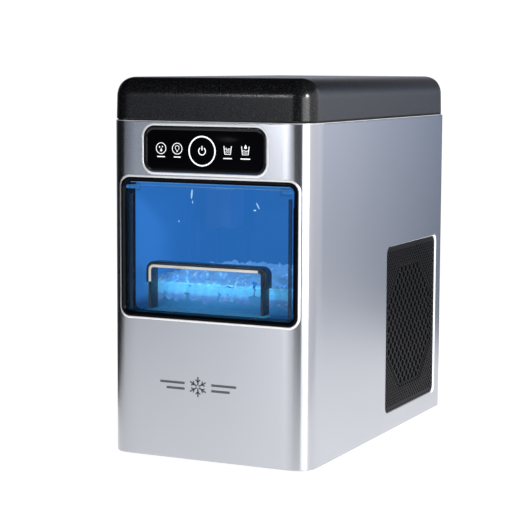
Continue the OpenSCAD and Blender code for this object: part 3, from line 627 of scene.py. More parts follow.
def make_emblem():
    """Plain snowflake between two pairs of bars, etched into the lower front."""
    shape = Shape()
    cx, cz, arm, fork, twig = -8.5, 68.5, 8.4, 4.2, 2.9

    def mark(points, width):
        stroke(shape, points, width, FRONT_Y + 0.05, 0.12)

    for k in range(6):
        a = radians(30 + 60 * k)
        mark([(cx + 1.2 * cos(a), cz + 1.2 * sin(a)), (cx + arm * cos(a), cz + arm * sin(a))], 1.3)
        for side in (-1, 1):
            b = a + side * radians(48)
            x, z = cx + fork * cos(a), cz + fork * sin(a)
            mark([(x, z), (x + twig * cos(b), z + twig * sin(b))], 1.1)
    for side in (-1, 1):
        for level, reach in ((-2.4, 17), (2.4, 23)):
            mark([(cx + side * 12.5, cz + level), (cx + side * (12.5 + reach), cz + level)], 2.0)
    shape.piece("front_emblem", "emblem", slot="wrap_steel")


# ---------------------------------------------------------------- outside: lid
def make_lid():
    """Deep moulded lid with a large top radius, open underneath, and the black seal it sits over."""
    w, d = lid_high.x - lid_low.x, lid_high.y - lid_low.y
    base, top = case_high.z + 0.75, lid_high.z
    outline = body_outline(w, d, LID_CORNER, 14.0)
    radius, steps, extra = 17.0, 18, 5
    profile = [(3.0, base + 1), (1.3, base), (0.7, base + 0.1), (0.25, base + 0.5), (0.1, base + 1.2)]
    for k in range(steps + 1):
        a = radians(90 * k / steps)
        profile.append((0.5 + (radius - extra) * (1 - cos(a)) + extra * (k / steps) ** 3,
                        top - radius + radius * sin(a)))
    crown = len(profile) - 1
    profile += [(12.0, top - 2.5), (7.0, top - 7), (3.0, top - 18)]
    n = len(outline)
    lid = Shape().loft(rings(outline, profile), ring=True)
    lid.faces = [f for f in lid.faces if not (min(f) >= crown * n and max(f) < (crown + 2) * n)]
    lid.faces.append(tuple(crown * n + j for j in range(n)))
    lid.faces.append(tuple((crown + 1) * n + j for j in range(n - 1, -1, -1)))
    weight(lid.piece("moulded_lid", "lid", slot="case_black", stands_for=("top_lid",), sharp=60))
    low, high = case_high.z - 3, base + 1.4
    seal = rings(STEEL_OUTLINE, [(1.6, low), (1.6, high), (3.4, high), (3.4, low)])
    Shape().loft(seal, ring=True).piece("lid_seal", "rubber", slot="case_black")


# ---------------------------------------------------------------- outside: window
def make_window_bezel():
    """Black frame with a sloped inner edge and the tunnel behind it."""
    back = bezel_high.y

    def ring(w, h, r, y):
        return on_front(round_loop(w, h, r, 12), y, 0, WINDOW_Z)

    f = FRONT_Y
    loops = [
        ring(OPEN_W + 4, OPEN_H + 4, 7, back), ring(OPEN_W + 4, OPEN_H + 4, 7, f + 6),
        ring(WINDOW_W, WINDOW_H, WINDOW_R, f + 6), ring(WINDOW_W, WINDOW_H, WINDOW_R, f + 0.1),
        ring(WINDOW_W - 0.25, WINDOW_H - 0.25, 7.9, f - 0.22),
        ring(WINDOW_W - 0.9, WINDOW_H - 0.9, 7.6, f - 0.4),
        ring(WINDOW_W - 3.4, WINDOW_H - 3.2, 6.6, f - 0.4),
        ring(WINDOW_W - 4.2, WINDOW_H - 4.0, 6.2, f - 0.1),
        ring(OPEN_W + 0.8, OPEN_H + 0.8, 5.2, f + 1.5), ring(OPEN_W, OPEN_H, OPEN_R, f + 2.0),
        ring(OPEN_W, OPEN_H, OPEN_R, back),
    ]
    shape = Shape().loft(loops, ring=True)
    for low in (WINDOW_Z + WINDOW_H / 2 + 0.1, WINDOW_Z - WINDOW_H / 2 - 2.5):
        shape.block((-74, f + 1.2, low), (74, f + 3.5, low + 2.4))
    for s in (-1, 1):
        x = s * (OPEN_W / 2 - 0.7)
        shape.block((x - 0.7, f + 3.8, WINDOW_Z - 48), (x + 0.7, f + 5.6, WINDOW_Z + 38))
    shape.piece("window_frame", "bezel", slot="case_black", stands_for=("window_bezel",))


def make_window_door():
    """Clear flap with softened edges and a hinge barrel at each upper corner."""
    shape = Shape()
    w, h, r = OPEN_W - 1.4, OPEN_H - 3.4, 4.4
    front, back = FRONT_Y + 0.4, FRONT_Y + 3.4
    cz = WINDOW_Z - 1
    step, step_z = 1.5, HINGE_Z - 5.2 - cz

    def outline(e):
        lower = [p for p in round_loop(w - 2 * e, h - 2 * e, r - e, 8) if p[1] < 0]
        upper = [p for p in round_loop(w - 2 * (e + step), h - 2 * e, r - e, 8) if p[1] > 0]
        right = [(w / 2 - e, step_z - e), (w / 2 - e - step, step_z - e)]
        return right + upper + [(-u, v) for u, v in reversed(right)] + lower

    loops = [on_front(outline(e), y, 0, cz)
             for e, y in ((0.7, front), (0.2, front + 0.2), (0.0, front + 0.7),
                          (0.0, back - 0.7), (0.2, back - 0.2), (0.7, back))]
    shape.loft(loops)
    shape.piece("window_pane", "pane", body="door", slot="window_clear", stands_for=("window_door",),
                sharp=50)
    ears, shade_strips = Shape(), Shape()
    low, high = cz - h / 2, cz + h / 2
    for s in (-1, 1):
        ears.rod((s * 65, HINGE_Y, HINGE_Z), (s * 73, HINGE_Y, HINGE_Z), 3.0)
    for s in (-1, 1):
        ears.block((s * 75.7 - 0.6, back - 0.1, low + 5), (s * 75.7 + 0.6, back + 0.35, high - 9), 0.15)
        # Dark strips behind both sides of the pane: painted shade.
        shade_strips.block((s * 73.4 - 1.6, back - 0.05, low + 1.5),
                      (s * 73.4 + 1.6, back + 0.35, HINGE_Z - 5.5), 0.15)
    ears.piece("door_hinge_ears", "pane", body="door", slot="window_clear")
    shade_strips.piece("pane_side_shade_strips", "return", body="door", slot="window_clear")
    # Thin glowing rods along the pane's top edge and hinge line: painted highlights.
    edge = Shape()
    for z, r in ((high - 0.25, 0.3), (HINGE_Z + 4.0, 0.22)):
        edge.rod((-w / 2 + 3, back - 0.25, z), (w / 2 - 3, back - 0.25, z), r, 8)
    edge.piece("pane_highlight_lines", "edge", body="door", slot="window_clear")
    # Condensation drops on the pane, light and glowing as painted highlights.
    drops = Shape()
    for x, z, wide, tall, lean in (
            (-16, 229, 0.8, 4.0, 0.1), (-15.2, 222.5, 0.5, 1.2, 0.0), (44.5, 221.5, 0.7, 2.6, -0.5),
            (41.8, 217.8, 1.3, 0.6, 0.3), (-28, 206, 0.4, 0.9, 0.0)):
        rim = [(x + wide * u + lean * tall * v, z + tall * v) for u, v in arc(0, 0, 1, 16)]
        inner = [(x + (u - x) * 0.6, z + (v - z) * 0.6) for u, v in rim]
        drops.loft([on_front(rim, back + 0.02), on_front(inner, back + 0.3)])
    drops.piece("condensation_drops", "drops", body="door", slot="window_clear")


# ---------------------------------------------------------------- outside: control panel
def make_panel():
    """Raised gloss rim, black glass and the printed icons."""
    def ring(inset, y, r):
        return on_front(round_loop(PANEL_W - 2 * inset, PANEL_H - 2 * inset, r, 12), y, PANEL_X, PANEL_Z)

    f = FRONT_Y
    loops = [ring(1, f + 12, 8.4), ring(1, f + 3, 8.4), ring(0, f + 3, 9.4), ring(0, f, 9.4),
             ring(0.15, f - 0.3, 9.2), ring(0.6, f - 0.55, 8.8), ring(1.3, f - 0.6, 8.2),
             ring(1.9, f - 0.5, 7.6), ring(2.6, f - 0.2, 7.0), ring(3.0, f + 0.1, 6.6),
             ring(3.0, f + 2, 6.4), ring(4.6, f + 2, 5.4), ring(4.6, f + 12, 5.4)]
    rim = Shape().loft(loops, ring=True)
    rim.piece("panel_rim", "gloss", slot="gloss_black", stands_for=("panel_bezel",), sharp=50)
    w, h = panel_high.x - panel_low.x, panel_high.z - panel_low.z
    plate = Shape().loft([on_front(round_loop(w - 2 * e, h - 2 * e, 6.2 - e, 10), y, PANEL_X, PANEL_Z)
                          for e, y in ((0.35, f), (0.08, f + 0.12), (0, f + 0.4), (0, f + 1.9))])
    plate.piece("touch_glass", "touch", slot="gloss_black", stands_for=("touch_panel",), sharp=50)
    make_icons()


def make_icons():
    """Power ring, water drops, lamp, full basket and water tank, each over a short bar."""
    prints = Shape()

    def line(points, width, closed=False):
        stroke(prints, points, width, FRONT_Y, closed=closed)

    def drop(cx, cz, r):
        points = arc(cx, cz, r, 14, 150, 240) + [(cx, cz + 2.1 * r)]
        prints.loft([on_front(points, FRONT_Y), on_front(points, FRONT_Y - 0.1)])

    def level(cx, cz, reach, width):
        line([(cx - reach, cz), (cx + reach, cz)], width)

    ring_x, ring_z = PANEL_X - 1.75, PANEL_Z - 0.9
    line(arc(ring_x, ring_z, 11.95, 72), 1.1, closed=True)
    line(arc(ring_x, ring_z, 3.1, 30, 125, 290), 0.75)
    line([(ring_x, ring_z + 0.6), (ring_x, ring_z + 4.2)], 0.75)
    icon_z = PANEL_Z + 0.6
    clean_x, light_x = PANEL_X - 39.85, PANEL_X - 24.75
    full_x, water_x = PANEL_X + 21.65, PANEL_X + 37.65
    for cx in (clean_x, light_x):
        line(arc(cx, icon_z, 4.5, 40), 0.5, closed=True)
    for dx, dz, r in ((0.2, -1.7, 0.85), (-1.4, 0.9, 0.5), (1.2, 1.2, 0.42)):
        drop(clean_x + dx, icon_z + dz, r)
    line(arc(light_x, icon_z + 0.7, 1.8, 20, -55, 290), 0.38)
    level(light_x, icon_z - 1.6, 0.8, 0.5)
    level(light_x, icon_z - 2.4, 0.6, 0.5)
    for cx in (full_x, water_x):
        line([(cx - 3.4, icon_z + 3.2), (cx - 2.6, icon_z - 3.5), (cx + 2.6, icon_z - 3.5),
              (cx + 3.4, icon_z + 3.2)], 0.6)
    for dx, dz in ((-1.1, -1.9), (1.0, -1.7), (-0.2, 0.1), (1.5, 0.6), (-1.6, 0.9)):
        cube = [(full_x + dx + u, icon_z + dz + v)
                for u, v in ((-0.62, -0.62), (0.62, -0.62), (0.62, 0.62), (-0.62, 0.62))]
        line(cube, 0.3, closed=True)
    wave = ((-2.7, -0.6), (-1.2, -0.1), (0.4, -0.7), (2.7, -0.2))
    line([(water_x + u, icon_z + v) for u, v in wave], 0.45)
    drop(water_x + 0.2, icon_z + 2.4, 1.1)
    level(water_x, icon_z - 2.0, 1.9, 0.4)
    for cx, reach in ((clean_x, 3.6), (light_x, 3.1), (full_x, 3.8), (water_x, 4.3)):
        level(cx, PANEL_Z - 6.3, reach, 0.8)
    prints.piece("panel_icons", "print", slot="gloss_black")


# ---------------------------------------------------------------- outside: side grille
PITCH = 5.15
HALF_PITCH = PITCH / 2
FIELD_REACH, FIELD_CORNER = 58, 85
SINK = 0.9


def field_depth(u, v):
    """How far a point is inside the octagon of through holes."""
    return min(FIELD_REACH - max(abs(u), abs(v)), (FIELD_CORNER - abs(u) - abs(v)) / sqrt(2))


def inside_plate(u, v, margin):
    return abs(u) <= GRILLE_D / 2 - margin and abs(v) <= GRILLE_H / 2 - margin and (
        abs(u) + abs(v) <= (GRILLE_D + GRILLE_H) / 2 - 2 * margin - 3.0)


def recess(u, v):
    """How far the octagon's surface is sunk, with a soft step at its edge."""
    t = min(max((field_depth(u, v) - 0.4) / 2.2, 0.0), 1.0)
    return SINK * t * t * (3 - 2 * t)


def clip(polygon, outline):
    """Part of a polygon inside a convex outline, both anticlockwise."""
    for a, b in zip(outline, outline[1:] + outline[:1]):
        side = [(b[0] - a[0]) * (p[1] - a[1]) - (b[1] - a[1]) * (p[0] - a[0]) for p in polygon]
        kept = []
        for m, p in enumerate(polygon):
            q, sp, sq = polygon[m - 1], side[m], side[m - 1]
            if (sp >= 0) != (sq >= 0):
                t = sq / (sq - sp)
                kept.append((q[0] + (p[0] - q[0]) * t, q[1] + (p[1] - q[1]) * t))
            if sp >= 0:
                kept.append(p)
        polygon = kept
        if len(polygon) < 3:
            return []
    return polygon


def make_grille():
    """Perforated plate: through holes in an octagon field, small holes over the rest."""
    face_x, thick = grille_high.x - 1.0, 1.6
    shape = Shape()
    reach = 32
    covered = set()
    outline = round_loop(GRILLE_D - 1.6, GRILLE_H - 1.6, GRILLE_R - 0.8, 10)

    def front_point(p):
        return (face_x - recess(*p), GRILLE_Y + p[0], GRILLE_Z + p[1])

    def back_point(p):
        return (face_x - recess(*p) - thick, GRILLE_Y + p[0], GRILLE_Z + p[1])

    def diamond(centre, half, parts):
        corner = [(half, 0), (0, half), (-half, 0), (0, -half)]
        rim = []
        for m in range(4):
            a, b = corner[m], corner[(m + 1) % 4]
            rim += [(centre[0] + a[0] * (1 - t / parts) + b[0] * t / parts,
                     centre[1] + a[1] * (1 - t / parts) + b[1] * t / parts) for t in range(parts)]
        return rim

    def holed(centre, half, hole_r, parts, squareness):
        rim = diamond(centre, half, parts)
        n = len(rim)
        hole = []
        for m in range(n):
            a = 2 * pi * m / n
            r = hole_r * (1 + squareness * (abs(cos(2 * a)) - 0.5))
            hole.append((centre[0] + r * cos(a), centre[1] + r * sin(a)))
        bevel = [(centre[0] + (u - centre[0]) * 1.07, centre[1] + (v - centre[1]) * 1.07) for u, v in hole]
        layers = [[front_point(q) for q in rim], [front_point(q) for q in bevel],
                  [(x - 0.15, y, z) for x, y, z in (front_point(q) for q in hole)],
                  [back_point(q) for q in hole], [back_point(q) for q in rim]]
        points = [q for layer in layers for q in layer]
        faces = []
        for layer in range(4):
            a, b = layer * n, (layer + 1) * n
            faces += [(a + m, a + (m + 1) % n, b + (m + 1) % n, b + m) for m in range(n)]
        shape.add(points, faces)

    for i in range(-reach, reach + 1):
        for j in range(-reach, reach + 1):
            u, v = i * PITCH, j * PITCH
            if (i + j) % 2 or field_depth(u, v) < 6.5:
                continue
            holed((u, v), PITCH, 2.95, 4, 0.12)
            for du, dv in ((1, 0), (-1, 0), (0, 1), (0, -1)):
                covered.add((2 * i + du, 2 * j + dv))
    for i in range(-reach, reach + 1):
        for j in range(-reach, reach + 1):
            u, v = i * HALF_PITCH, j * HALF_PITCH
            if (i + j) % 2 == 0 or (i, j) in covered:
                continue
            if inside_plate(u, v, 4.6):
                holed((u, v), HALF_PITCH, 1.3, 2, 0.3)
                continue
            part = clip(diamond((u, v), HALF_PITCH, 2), outline)
            if part:
                shape.add([front_point(q) for q in part], [tuple(range(len(part)))])
    rim = [on_side(round_loop(GRILLE_D - 2 * inset, GRILLE_H - 2 * inset, GRILLE_R - inset, 10),
                   face_x + proud, GRILLE_Y, GRILLE_Z)
           for inset, proud in ((2.2, -0.2), (1.9, 0.05), (1.5, 0.22), (0.9, 0.22), (0.4, 0.05),
                                (0.1, -0.4), (0.1, -2.3), (2.2, -2.3))]
    shape.loft(rim, ring=True)
    shape.piece("air_grille", "grille", slot="case_black", stands_for=("side_grille",), sharp=40)
    # Steel lip round the opening; its near-white colour is a painted highlight.
    lip = [on_side(vent_edge(out), HALF_W - deep, GRILLE_Y, GRILLE_Z)
           for out, deep in ((0.1, 1.6), (0.1, 0.95), (0.5, 0.66), (1.3, 0.2), (1.8, 0.04),
                             (VENT_LIP, 0.0), (VENT_LIP, 0.9))]
    Shape().loft(lip, ring=True).piece("grille_lip_highlight", "lip_highlight", slot="wrap_steel", sharp=50)


# ---------------------------------------------------------------- inside the window
def thicken(path, wall):
    """Closed outline of an open path given a wall thickness to its right."""
    outer = []
    for i, p in enumerate(path):
        a, b = path[max(i - 1, 0)], path[min(i + 1, len(path) - 1)]
        dx, dy = b[0] - a[0], b[1] - a[1]
        length = hypot(dx, dy)
        outer.append((p[0] - dy / length * wall, p[1] + dx / length * wall))
    return path + outer[::-1]


def make_liner():
    """Blue-lit chamber: one curved wall with a raised column at the back, a roof, a floor and a spout."""
    x, r, sheet = OPEN_W / 2, 9.0, 1.8
    front, back = liner_low.y, liner_high.y - 2
    floor, roof = CHAMBER_FLOOR / MM, liner_high.z
    path = [(-x, front)] + arc(-x + r, back - r, r, 8, 180, -90)
    path += [(-56, back), (-53.5, back - 2.2), (-24.5, back - 2.2), (-22, back), (-6, back),
             (-4, back - 1.4), (18, back - 1.4), (20, back)]
    path += arc(x - r, back - r, r, 8, 90, -90) + [(x, front)]
    wall = thicken(path, sheet)
    shape = Shape().loft([on_floor(wall, floor), on_floor(wall, roof - 2)])
    for z in (roof, floor):
        shape.block((-x - sheet, front, z - 2), (x + sheet, back + sheet, z), 0.3)
    for s in (-1, 1):
        shape.block((s * 71.2 - 6.0, front, floor), (s * 71.2 + 6.0, back - 8, basket_low.z - 0.1), 0.3)
    shape.block((-x, front, floor), (x, front + 2, WINDOW_Z - OPEN_H / 2), 0.3)
    shape.piece("chamber_shell", "liner", slot="liner_blue", stands_for=("chamber_liner",))
    spout = Shape().rod((40, -90, 113), (40, -90, floor - 1), 8.5)
    spout.piece("drain_spout", "liner", slot="liner_blue")


def u_path(half, low, top, r):
    """Inverted U on the front plane: up one leg, round, across and down."""
    left = [(-half, low), (-half, (low + top - r) / 2)] + arc(-half + r, top - r, r, 10, 180, -90)
    return left + [(-x, z) for x, z in reversed(left)]


def handle_strip(path, inner, outer, y0, y1, edge):
    """Strip along a path: from inner to outer off the path, y0 to y1 deep, with round edges."""
    section = []
    for cu, cv, start in ((outer - edge, y1 - edge, 0), (inner + edge, y1 - edge, 90),
                          (inner + edge, y0 + edge, 180), (outer - edge, y0 + edge, 270)):
        section += arc(cu, cv, edge, 3, start, 90)
    loops = []
    for i, (x, z) in enumerate(path):
        a, b = path[max(i - 1, 0)], path[min(i + 1, len(path) - 1)]
        dx, dz = b[0] - a[0], b[1] - a[1]
        length = hypot(dx, dz)
        nx, nz = -dz / length, dx / length
        loops.append([(HANDLE_X + x + nx * u, v, z + nz * u) for u, v in section])
    return Shape().loft(loops)


def make_handle():
    """Ribbon handle, a thicker sleeve over its upper part and a painted highlight along its front: a pale
    glowing strip.
    """
    half, top = (ribbon_high.x - ribbon_low.x) / 2, ribbon_high.z
    extra = (grip_high.x - grip_low.x) / 2 - half
    low, wall = basket_low.z + 1.7, 1.2
    middle_line = u_path(half - wall, low, top - wall, 3.6)
    ribbon = handle_strip(middle_line, -wall, wall, ribbon_low.y, ribbon_high.y, 0.4)
    ribbon.piece("handle_ribbon", "smoke", body="basket", slot="handle_smoke",
                 stands_for=("basket_handle",), sharp=50)
    sleeve = handle_strip(u_path(half, grip_low.z, top, 4.5), 0.05, extra, grip_low.y, grip_high.y, 0.9)
    sleeve.piece("handle_sleeve", "smoke", body="basket", slot="handle_smoke",
                 stands_for=("handle_grip",), sharp=50)
    # The painted highlight runs up the left leg and across the top only.
    pale = [p for p in u_path(half - wall, grip_low.z + 0.5, top - wall, 3.6) if p[0] < half - 4.5]
    pale.append((half - 5.5, top - wall))
    edge = handle_strip(pale, -1.1, 1.1, ribbon_low.y - 0.1, ribbon_low.y + 0.3, 0.15)
    edge.piece("handle_highlight_strip", "pale", body="basket", slot="handle_smoke", sharp=50)


def make_basket():
    """Clear tray with a rolled rim, and a ribbed ledge between the tray and the handle."""
    x, front, back = basket_high.x, -140.0, basket_high.y
    low, high = basket_low.z, basket_high.z
    cy, d = (front + back) / 2, back - front

    def ring(inset, z, r):
        return on_floor(round_loop(2 * (x - inset), d - 2 * inset, r, 8), z, 0, cy)

    shape = Shape().loft([
        ring(2.2, low, 4.5), ring(1.4, low + 0.4, 5), ring(1.2, low + 1.2, 5.2), ring(0.9, high - 2.2, 5.4),
        ring(0.1, high - 1.9, 6), ring(0.0, high - 1.0, 6), ring(0.4, high - 0.2, 5.6), ring(1.2, high, 5),
        ring(2.4, high - 0.1, 4), ring(2.7, high - 0.8, 3.8), ring(3.0, low + 2.0, 3.5),
    ])
    shape.piece("basket_tray", "basket", body="basket", slot="basket_clear", stands_for=("ice_basket",),
                sharp=50)
    ledge = Shape().block((ribbon_low.x - 1.5, ribbon_low.y + 0.5, low),
                          (ribbon_high.x + 1.5, front - 0.1, low + 1.6), 0.4)
    for k in range(9):
        rib_x = -48 + 12 * k
        ledge.block((rib_x - 0.5, ribbon_low.y + 3, low + 1.6), (rib_x + 0.5, front - 0.2, low + 3.0), 0.2)
    ledge.piece("basket_ledge", "basket", body="basket", slot="basket_clear")


HEAP_RIM, HEAP_RISE = 149.5, 13
ICE_FRONT, ICE_BACK, ICE_SIDE, ICE_LOW, ICE_STEP = -132.5, -46, 65.5, 136.5, 7.4


def heap(x, y):
    """Height of the ice at a place in the basket."""
    across = 1 - (abs(x) / 76) ** 4
    along = min(max((y + 138) / 14, 0), 1)
    return HEAP_RIM + HEAP_RISE * across * along ** 0.8


def make_ice():
    """Loose nuggets heaped in the basket, one mesh of small chipped lumps."""
    random = Random(11)
    template = bmesh.new()
    bmesh.ops.create_icosphere(template, subdivisions=1, radius=1.0)
    ball = [v.co.copy() for v in template.verts]
    sides = [tuple(v.index for v in f.verts) for f in template.faces]
    template.free()
    shape = Shape()

    def nugget(x, y, z, size):
        spin = Matrix.Rotation(random.uniform(0, 6.28), 3, "Z")
        turn = spin @ Matrix.Rotation(random.uniform(0, 3.14), 3, "X")
        long = random.uniform(1.0, 1.45)
        points = []
        for p in ball:
            q = Vector((p.x, p.y, p.z * long)) * size * random.uniform(0.82, 1.12)
            q = turn @ q
            points.append((x + q.x, y + q.y, z + q.z))
        shape.add(points, sides)

    for i in range(-9, 10):
        for j in range(13):
            x = i * ICE_STEP + random.uniform(-1.6, 1.6)
            y = ICE_FRONT + 1 + j * ICE_STEP + random.uniform(-1.6, 1.6)
            if abs(x) > ICE_SIDE or not ICE_FRONT <= y <= ICE_BACK:
                continue
            surface = heap(x, y)
            nugget(x, y, surface - 5 + random.uniform(-1.5, 1.8), random.uniform(3.6, 4.8))
            if j < 2 or abs(i) > 7:
                for depth in (11, 16):
                    z = max(surface - depth + random.uniform(-1, 1), ICE_LOW)
                    nugget(x, y, z, random.uniform(3.4, 4.4))
    shape.piece("ice_nuggets", "ice", body="basket", slot="basket_clear", sharp=20)


# ---------------------------------------------------------------- rear details
def make_rear():
    """Louvre blades behind the rear slots and cross-head screws along both edges."""
    blades, heads, slots = Shape(), Shape(), Shape()
    rows, pitch, lowest, middle, half = 12, 8, 170.55, 33, 25.8
    section = [(-0.9, -2.9), (-0.3, -2.9), (2.6, -0.4), (2.0, -0.4)]
    for row in range(rows):
        for s in (-1, 1):
            blades.loft([[(x, REAR_Y + v, lowest + row * pitch + u) for u, v in section]
                         for x in (s * middle - half, s * middle + half)])
    blades.piece("rear_louvres", "black", slot="case_black")
    for z in (34, 112, 190, 268):
        for s in (-1, 1):
            x = s * 78.5
            heads.loft([on_front(arc(x, z, r, 28), REAR_Y + proud)
                        for r, proud in ((3.0, 0.0), (3.0, 0.18), (2.7, 0.4), (2.1, 0.54), (1.2, 0.6))])
            heads.rod((x, REAR_Y - 8, z), (x, REAR_Y, z), 1.4)
            for a, b in ((1.5, 0.35), (0.35, 1.5)):
                slots.block((x - a, REAR_Y + 0.45, z - b), (x + a, REAR_Y + 0.6, z + b), 0.05)
    heads.piece("rear_screw_heads", "screw", slot="screw_steel", stands_for=("rear_screws",), sharp=40)
    slots.piece("screw_recesses", "black", slot="screw_steel")


# ---------------------------------------------------------------- CAD nodes that stay
NODE_LOOKS = {
    "black": ["rear_cover", "base_tray", "drain_port", "power_inlet", "fan_shroud", "pump_body"],
    "sensor": ["ice_level_sensor"],
    # Hinge pins take the liner's glow, painted light from the chamber lamp.
    "liner": ["hinge_pins"],
    "chute": ["ice_chute"],
    "lens": ["chamber_light"],
    "rubber": ["feet", "compressor_mounts", "shaft_seal", "drain_plug"],
    "screw": ["foot_screws", "lid_screws", "compressor_bolts", "auger_bearings", "water_level_probe"],
    "sheet": ["base_plate", "top_rails", "unit_bracket"],
    "tank": ["water_tank", "tank_cover", "control_box", "suction_hose", "feed_hose", "drain_hose"],
    "copper": ["refrigerant_lines", "filter_drier"],
    "freezer": ["evaporator", "auger", "extruder_head"],
    "aluminium": ["condenser", "gearbox_housing", "gearbox_cover"],
    "brass": ["drive_gear", "motor_pinion"],
    "board": ["display_board", "control_board"],
    "foam": ["insulation"],
    "machine": ["compressor", "gear_motor", "pump_motor", "fan_motor"],
    "white": ["fan_rotor", "pump_impeller"],
    "mesh": ["air_filter"],
}


def dress_nodes():
    """Gives every CAD node that stays its material."""
    for look, names in NODE_LOOKS.items():
        for name in names:
            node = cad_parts[name]
            node.data.materials.clear()
            node.data.materials.append(LOOKS[look])
            smooth(node.data, 30)


# ---------------------------------------------------------------- studio
def make_floor():
    """Pale oval table top, just wide enough that its rim is lost against the backdrop."""
    mesh = bpy.data.meshes.new("floor")
    long, short, steps = 0.95, 0.34, 96
    middle, lean = (-0.05, -0.3), radians(-27)
    rim = []
    for u, v in arc(0, 0, 1, steps):
        a, b = short * u, long * v
        rim.append((middle[0] + a * cos(lean) - b * sin(lean), middle[1] + a * sin(lean) + b * cos(lean), 0))
    mesh.from_pydata(rim, [], [tuple(range(steps))])
    floor = bpy.data.objects.new("floor", mesh)
    look = Look("pale_floor", (0.32, 0.32, 0.33), 0.7, Specular_IOR_Level=0.1).mottle(
        (0.3, 0.3, 0.31), 2).glow((1, 1, 1), 0.99)
    mesh.materials.append(look.material)
    bpy.context.scene.collection.objects.link(floor)


# Wall colour by bearing: 0 is straight in front of the window, 90 is to its right.
WALL = [
    (-180, (0.45, 0.47, 0.53)), (-140, (0.6, 0.63, 0.7)), (-120, (0.3, 0.31, 0.34)),
    (-105, (0.03, 0.03, 0.03)), (-50, (0.025, 0.024, 0.024)), (-11, (0.05, 0.05, 0.055)),
    (0, (0.12, 0.125, 0.135)), (28, (0.16, 0.165, 0.17)), (33, (0.5, 0.5, 0.52)), (75, (2.2, 2.2, 2.25)),
    (125, (1.9, 1.9, 2.0)), (150, (1.8, 1.85, 2.0)), (154, (1.75, 1.8, 1.96)), (157, (1.9, 1.98, 2.2)),
    (159, (0.8, 0.91, 1.15)), (161, (0.12, 0.22, 0.4)), (165, (0.3, 0.36, 0.48)), (180, (0.45, 0.47, 0.53)),
]
# Share of the wall's colour by the upward part of the direction.
RISE = [(-1.0, 0.7), (-0.5, 0.6), (-0.3, 0.3), (-0.2, 0.16), (-0.12, 0.36), (-0.06, 0.5), (-0.01, 0.7),
        (0.04, 0.8), (0.28, 0.62), (0.36, 0.4), (0.44, 0.06), (0.6, 0.02), (1.0, 0.02)]
# A lower bright window at the front left, and how it fades upwards.
FRONT_WINDOW = [
    (-180, (0, 0, 0)), (-42, (0, 0, 0)), (-36, (0.18, 0.21, 0.27)), (-31, (0.3, 0.35, 0.45)),
    (-27, (0.42, 0.47, 0.56)), (-24, (0.48, 0.52, 0.6)), (-20, (0.5, 0.53, 0.59)),
    (-15, (0.15, 0.155, 0.17)), (-11, (0, 0, 0)), (180, (0, 0, 0)),
]
WINDOW_RISE = [(-1.0, 0.3), (-0.25, 0.5), (-0.15, 0.85), (-0.05, 1.0), (0.05, 1.2), (0.12, 1.7), (0.16, 0.3),
               (0.22, 0.03), (0.5, 0.0), (1.0, 0.0)]


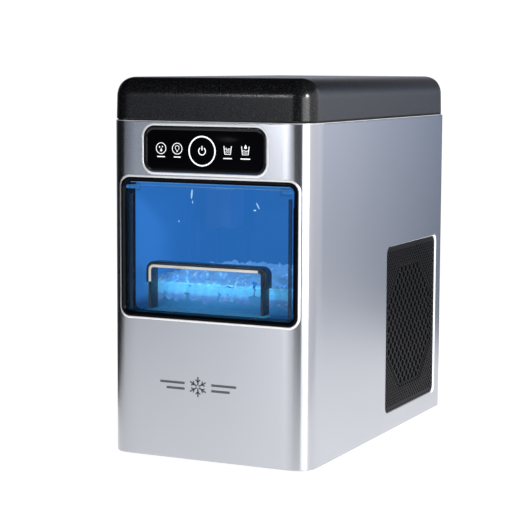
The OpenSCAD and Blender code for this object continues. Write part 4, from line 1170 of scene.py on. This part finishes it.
def make_world():
    """White to the eye. For reflections, a wall whose brightness changes round the object."""
    world = bpy.data.worlds.new("studio")
    bpy.context.scene.world = world
    world.use_nodes = True
    tree = world.node_tree
    tree.nodes.clear()
    link = tree.links.new
    output, mix, path, seen, soft = new_nodes(
        tree, "OutputWorld", "MixShader", "LightPath", "Background", "Background")
    place, split, flip, turn, span, lift, total = new_nodes(
        tree, "TexCoord", "SeparateXYZ", "Math", "Math", "MapRange", "MapRange", "MixRGB")
    seen.inputs["Color"].default_value = (1, 1, 1, 1)
    seen.inputs["Strength"].default_value = 1.05
    flip.operation = "MULTIPLY"
    flip.inputs[1].default_value = -1
    turn.operation = "ARCTAN2"
    span.inputs["From Min"].default_value = -pi
    span.inputs["From Max"].default_value = pi
    lift.inputs["From Min"].default_value = -1
    total.blend_type = "ADD"
    total.inputs["Fac"].default_value = 1
    link(place.outputs["Generated"], split.inputs["Vector"])
    link(split.outputs["Y"], flip.inputs[0])
    link(split.outputs["X"], turn.inputs[0])
    link(flip.outputs["Value"], turn.inputs[1])
    link(turn.outputs["Value"], span.inputs["Value"])
    link(split.outputs["Z"], lift.inputs["Value"])
    for colours, levels, socket in ((WALL, RISE, "Color1"), (FRONT_WINDOW, WINDOW_RISE, "Color2")):
        around, rise, both = new_nodes(tree, "ValToRGB", "ValToRGB", "MixRGB")
        both.blend_type = "MULTIPLY"
        both.inputs["Fac"].default_value = 1
        fill_ramp(around.color_ramp, [((bearing + 180) / 360, colour) for bearing, colour in colours])
        fill_ramp(rise.color_ramp, [((up + 1) / 2, (level,) * 3) for up, level in levels])
        link(span.outputs["Result"], around.inputs["Fac"])
        link(lift.outputs["Result"], rise.inputs["Fac"])
        link(around.outputs["Color"], both.inputs["Color1"])
        link(rise.outputs["Color"], both.inputs["Color2"])
        link(both.outputs["Color"], total.inputs[socket])
    link(total.outputs["Color"], soft.inputs["Color"])
    link(path.outputs["Is Camera Ray"], mix.inputs["Fac"])
    link(soft.outputs["Background"], mix.inputs[1])
    link(seen.outputs["Background"], mix.inputs[2])
    link(mix.outputs["Shader"], output.inputs["Surface"])


def softbox(name, bearing, distance, width, low, high, radiance):
    """Upright rectangle of light facing the object's middle, at a bearing as in WALL. In metres."""
    turn, height, middle = radians(bearing), high - low, (low + high) / 2
    data = bpy.data.lights.new(name, "AREA")
    data.shape = "RECTANGLE"
    data.size, data.size_y = width, height
    data.energy = radiance * pi * width * height
    light = bpy.data.objects.new(name, data)
    light.location = (distance * sin(turn), -distance * cos(turn), middle)
    towards = Vector((0, 0, middle)) - light.location
    light.rotation_euler = towards.to_track_quat("-Z", "Y").to_euler()
    bpy.context.scene.collection.objects.link(light)


def make_lights():
    softbox("front_strip", -18.2, 2.2, 0.13, 0.0, 0.62, 1.8)
    softbox("front_key", -20, 2.2, 0.16, 0.66, 0.76, 60)
    softbox("right_softbox", 54, 2.0, 1.35, 0.0, 0.66, 5)
    softbox("right_key", 61, 2.0, 0.3, 0.66, 0.8, 220)


make_camera()
make_casing()
make_emblem()
make_lid()
make_window_bezel()
make_window_door()
make_panel()
make_grille()
make_liner()
make_handle()
make_basket()
make_ice()
make_rear()
dress_nodes()
make_floor()
make_world()
make_lights()
bpy.context.scene.view_settings.view_transform = "Standard"
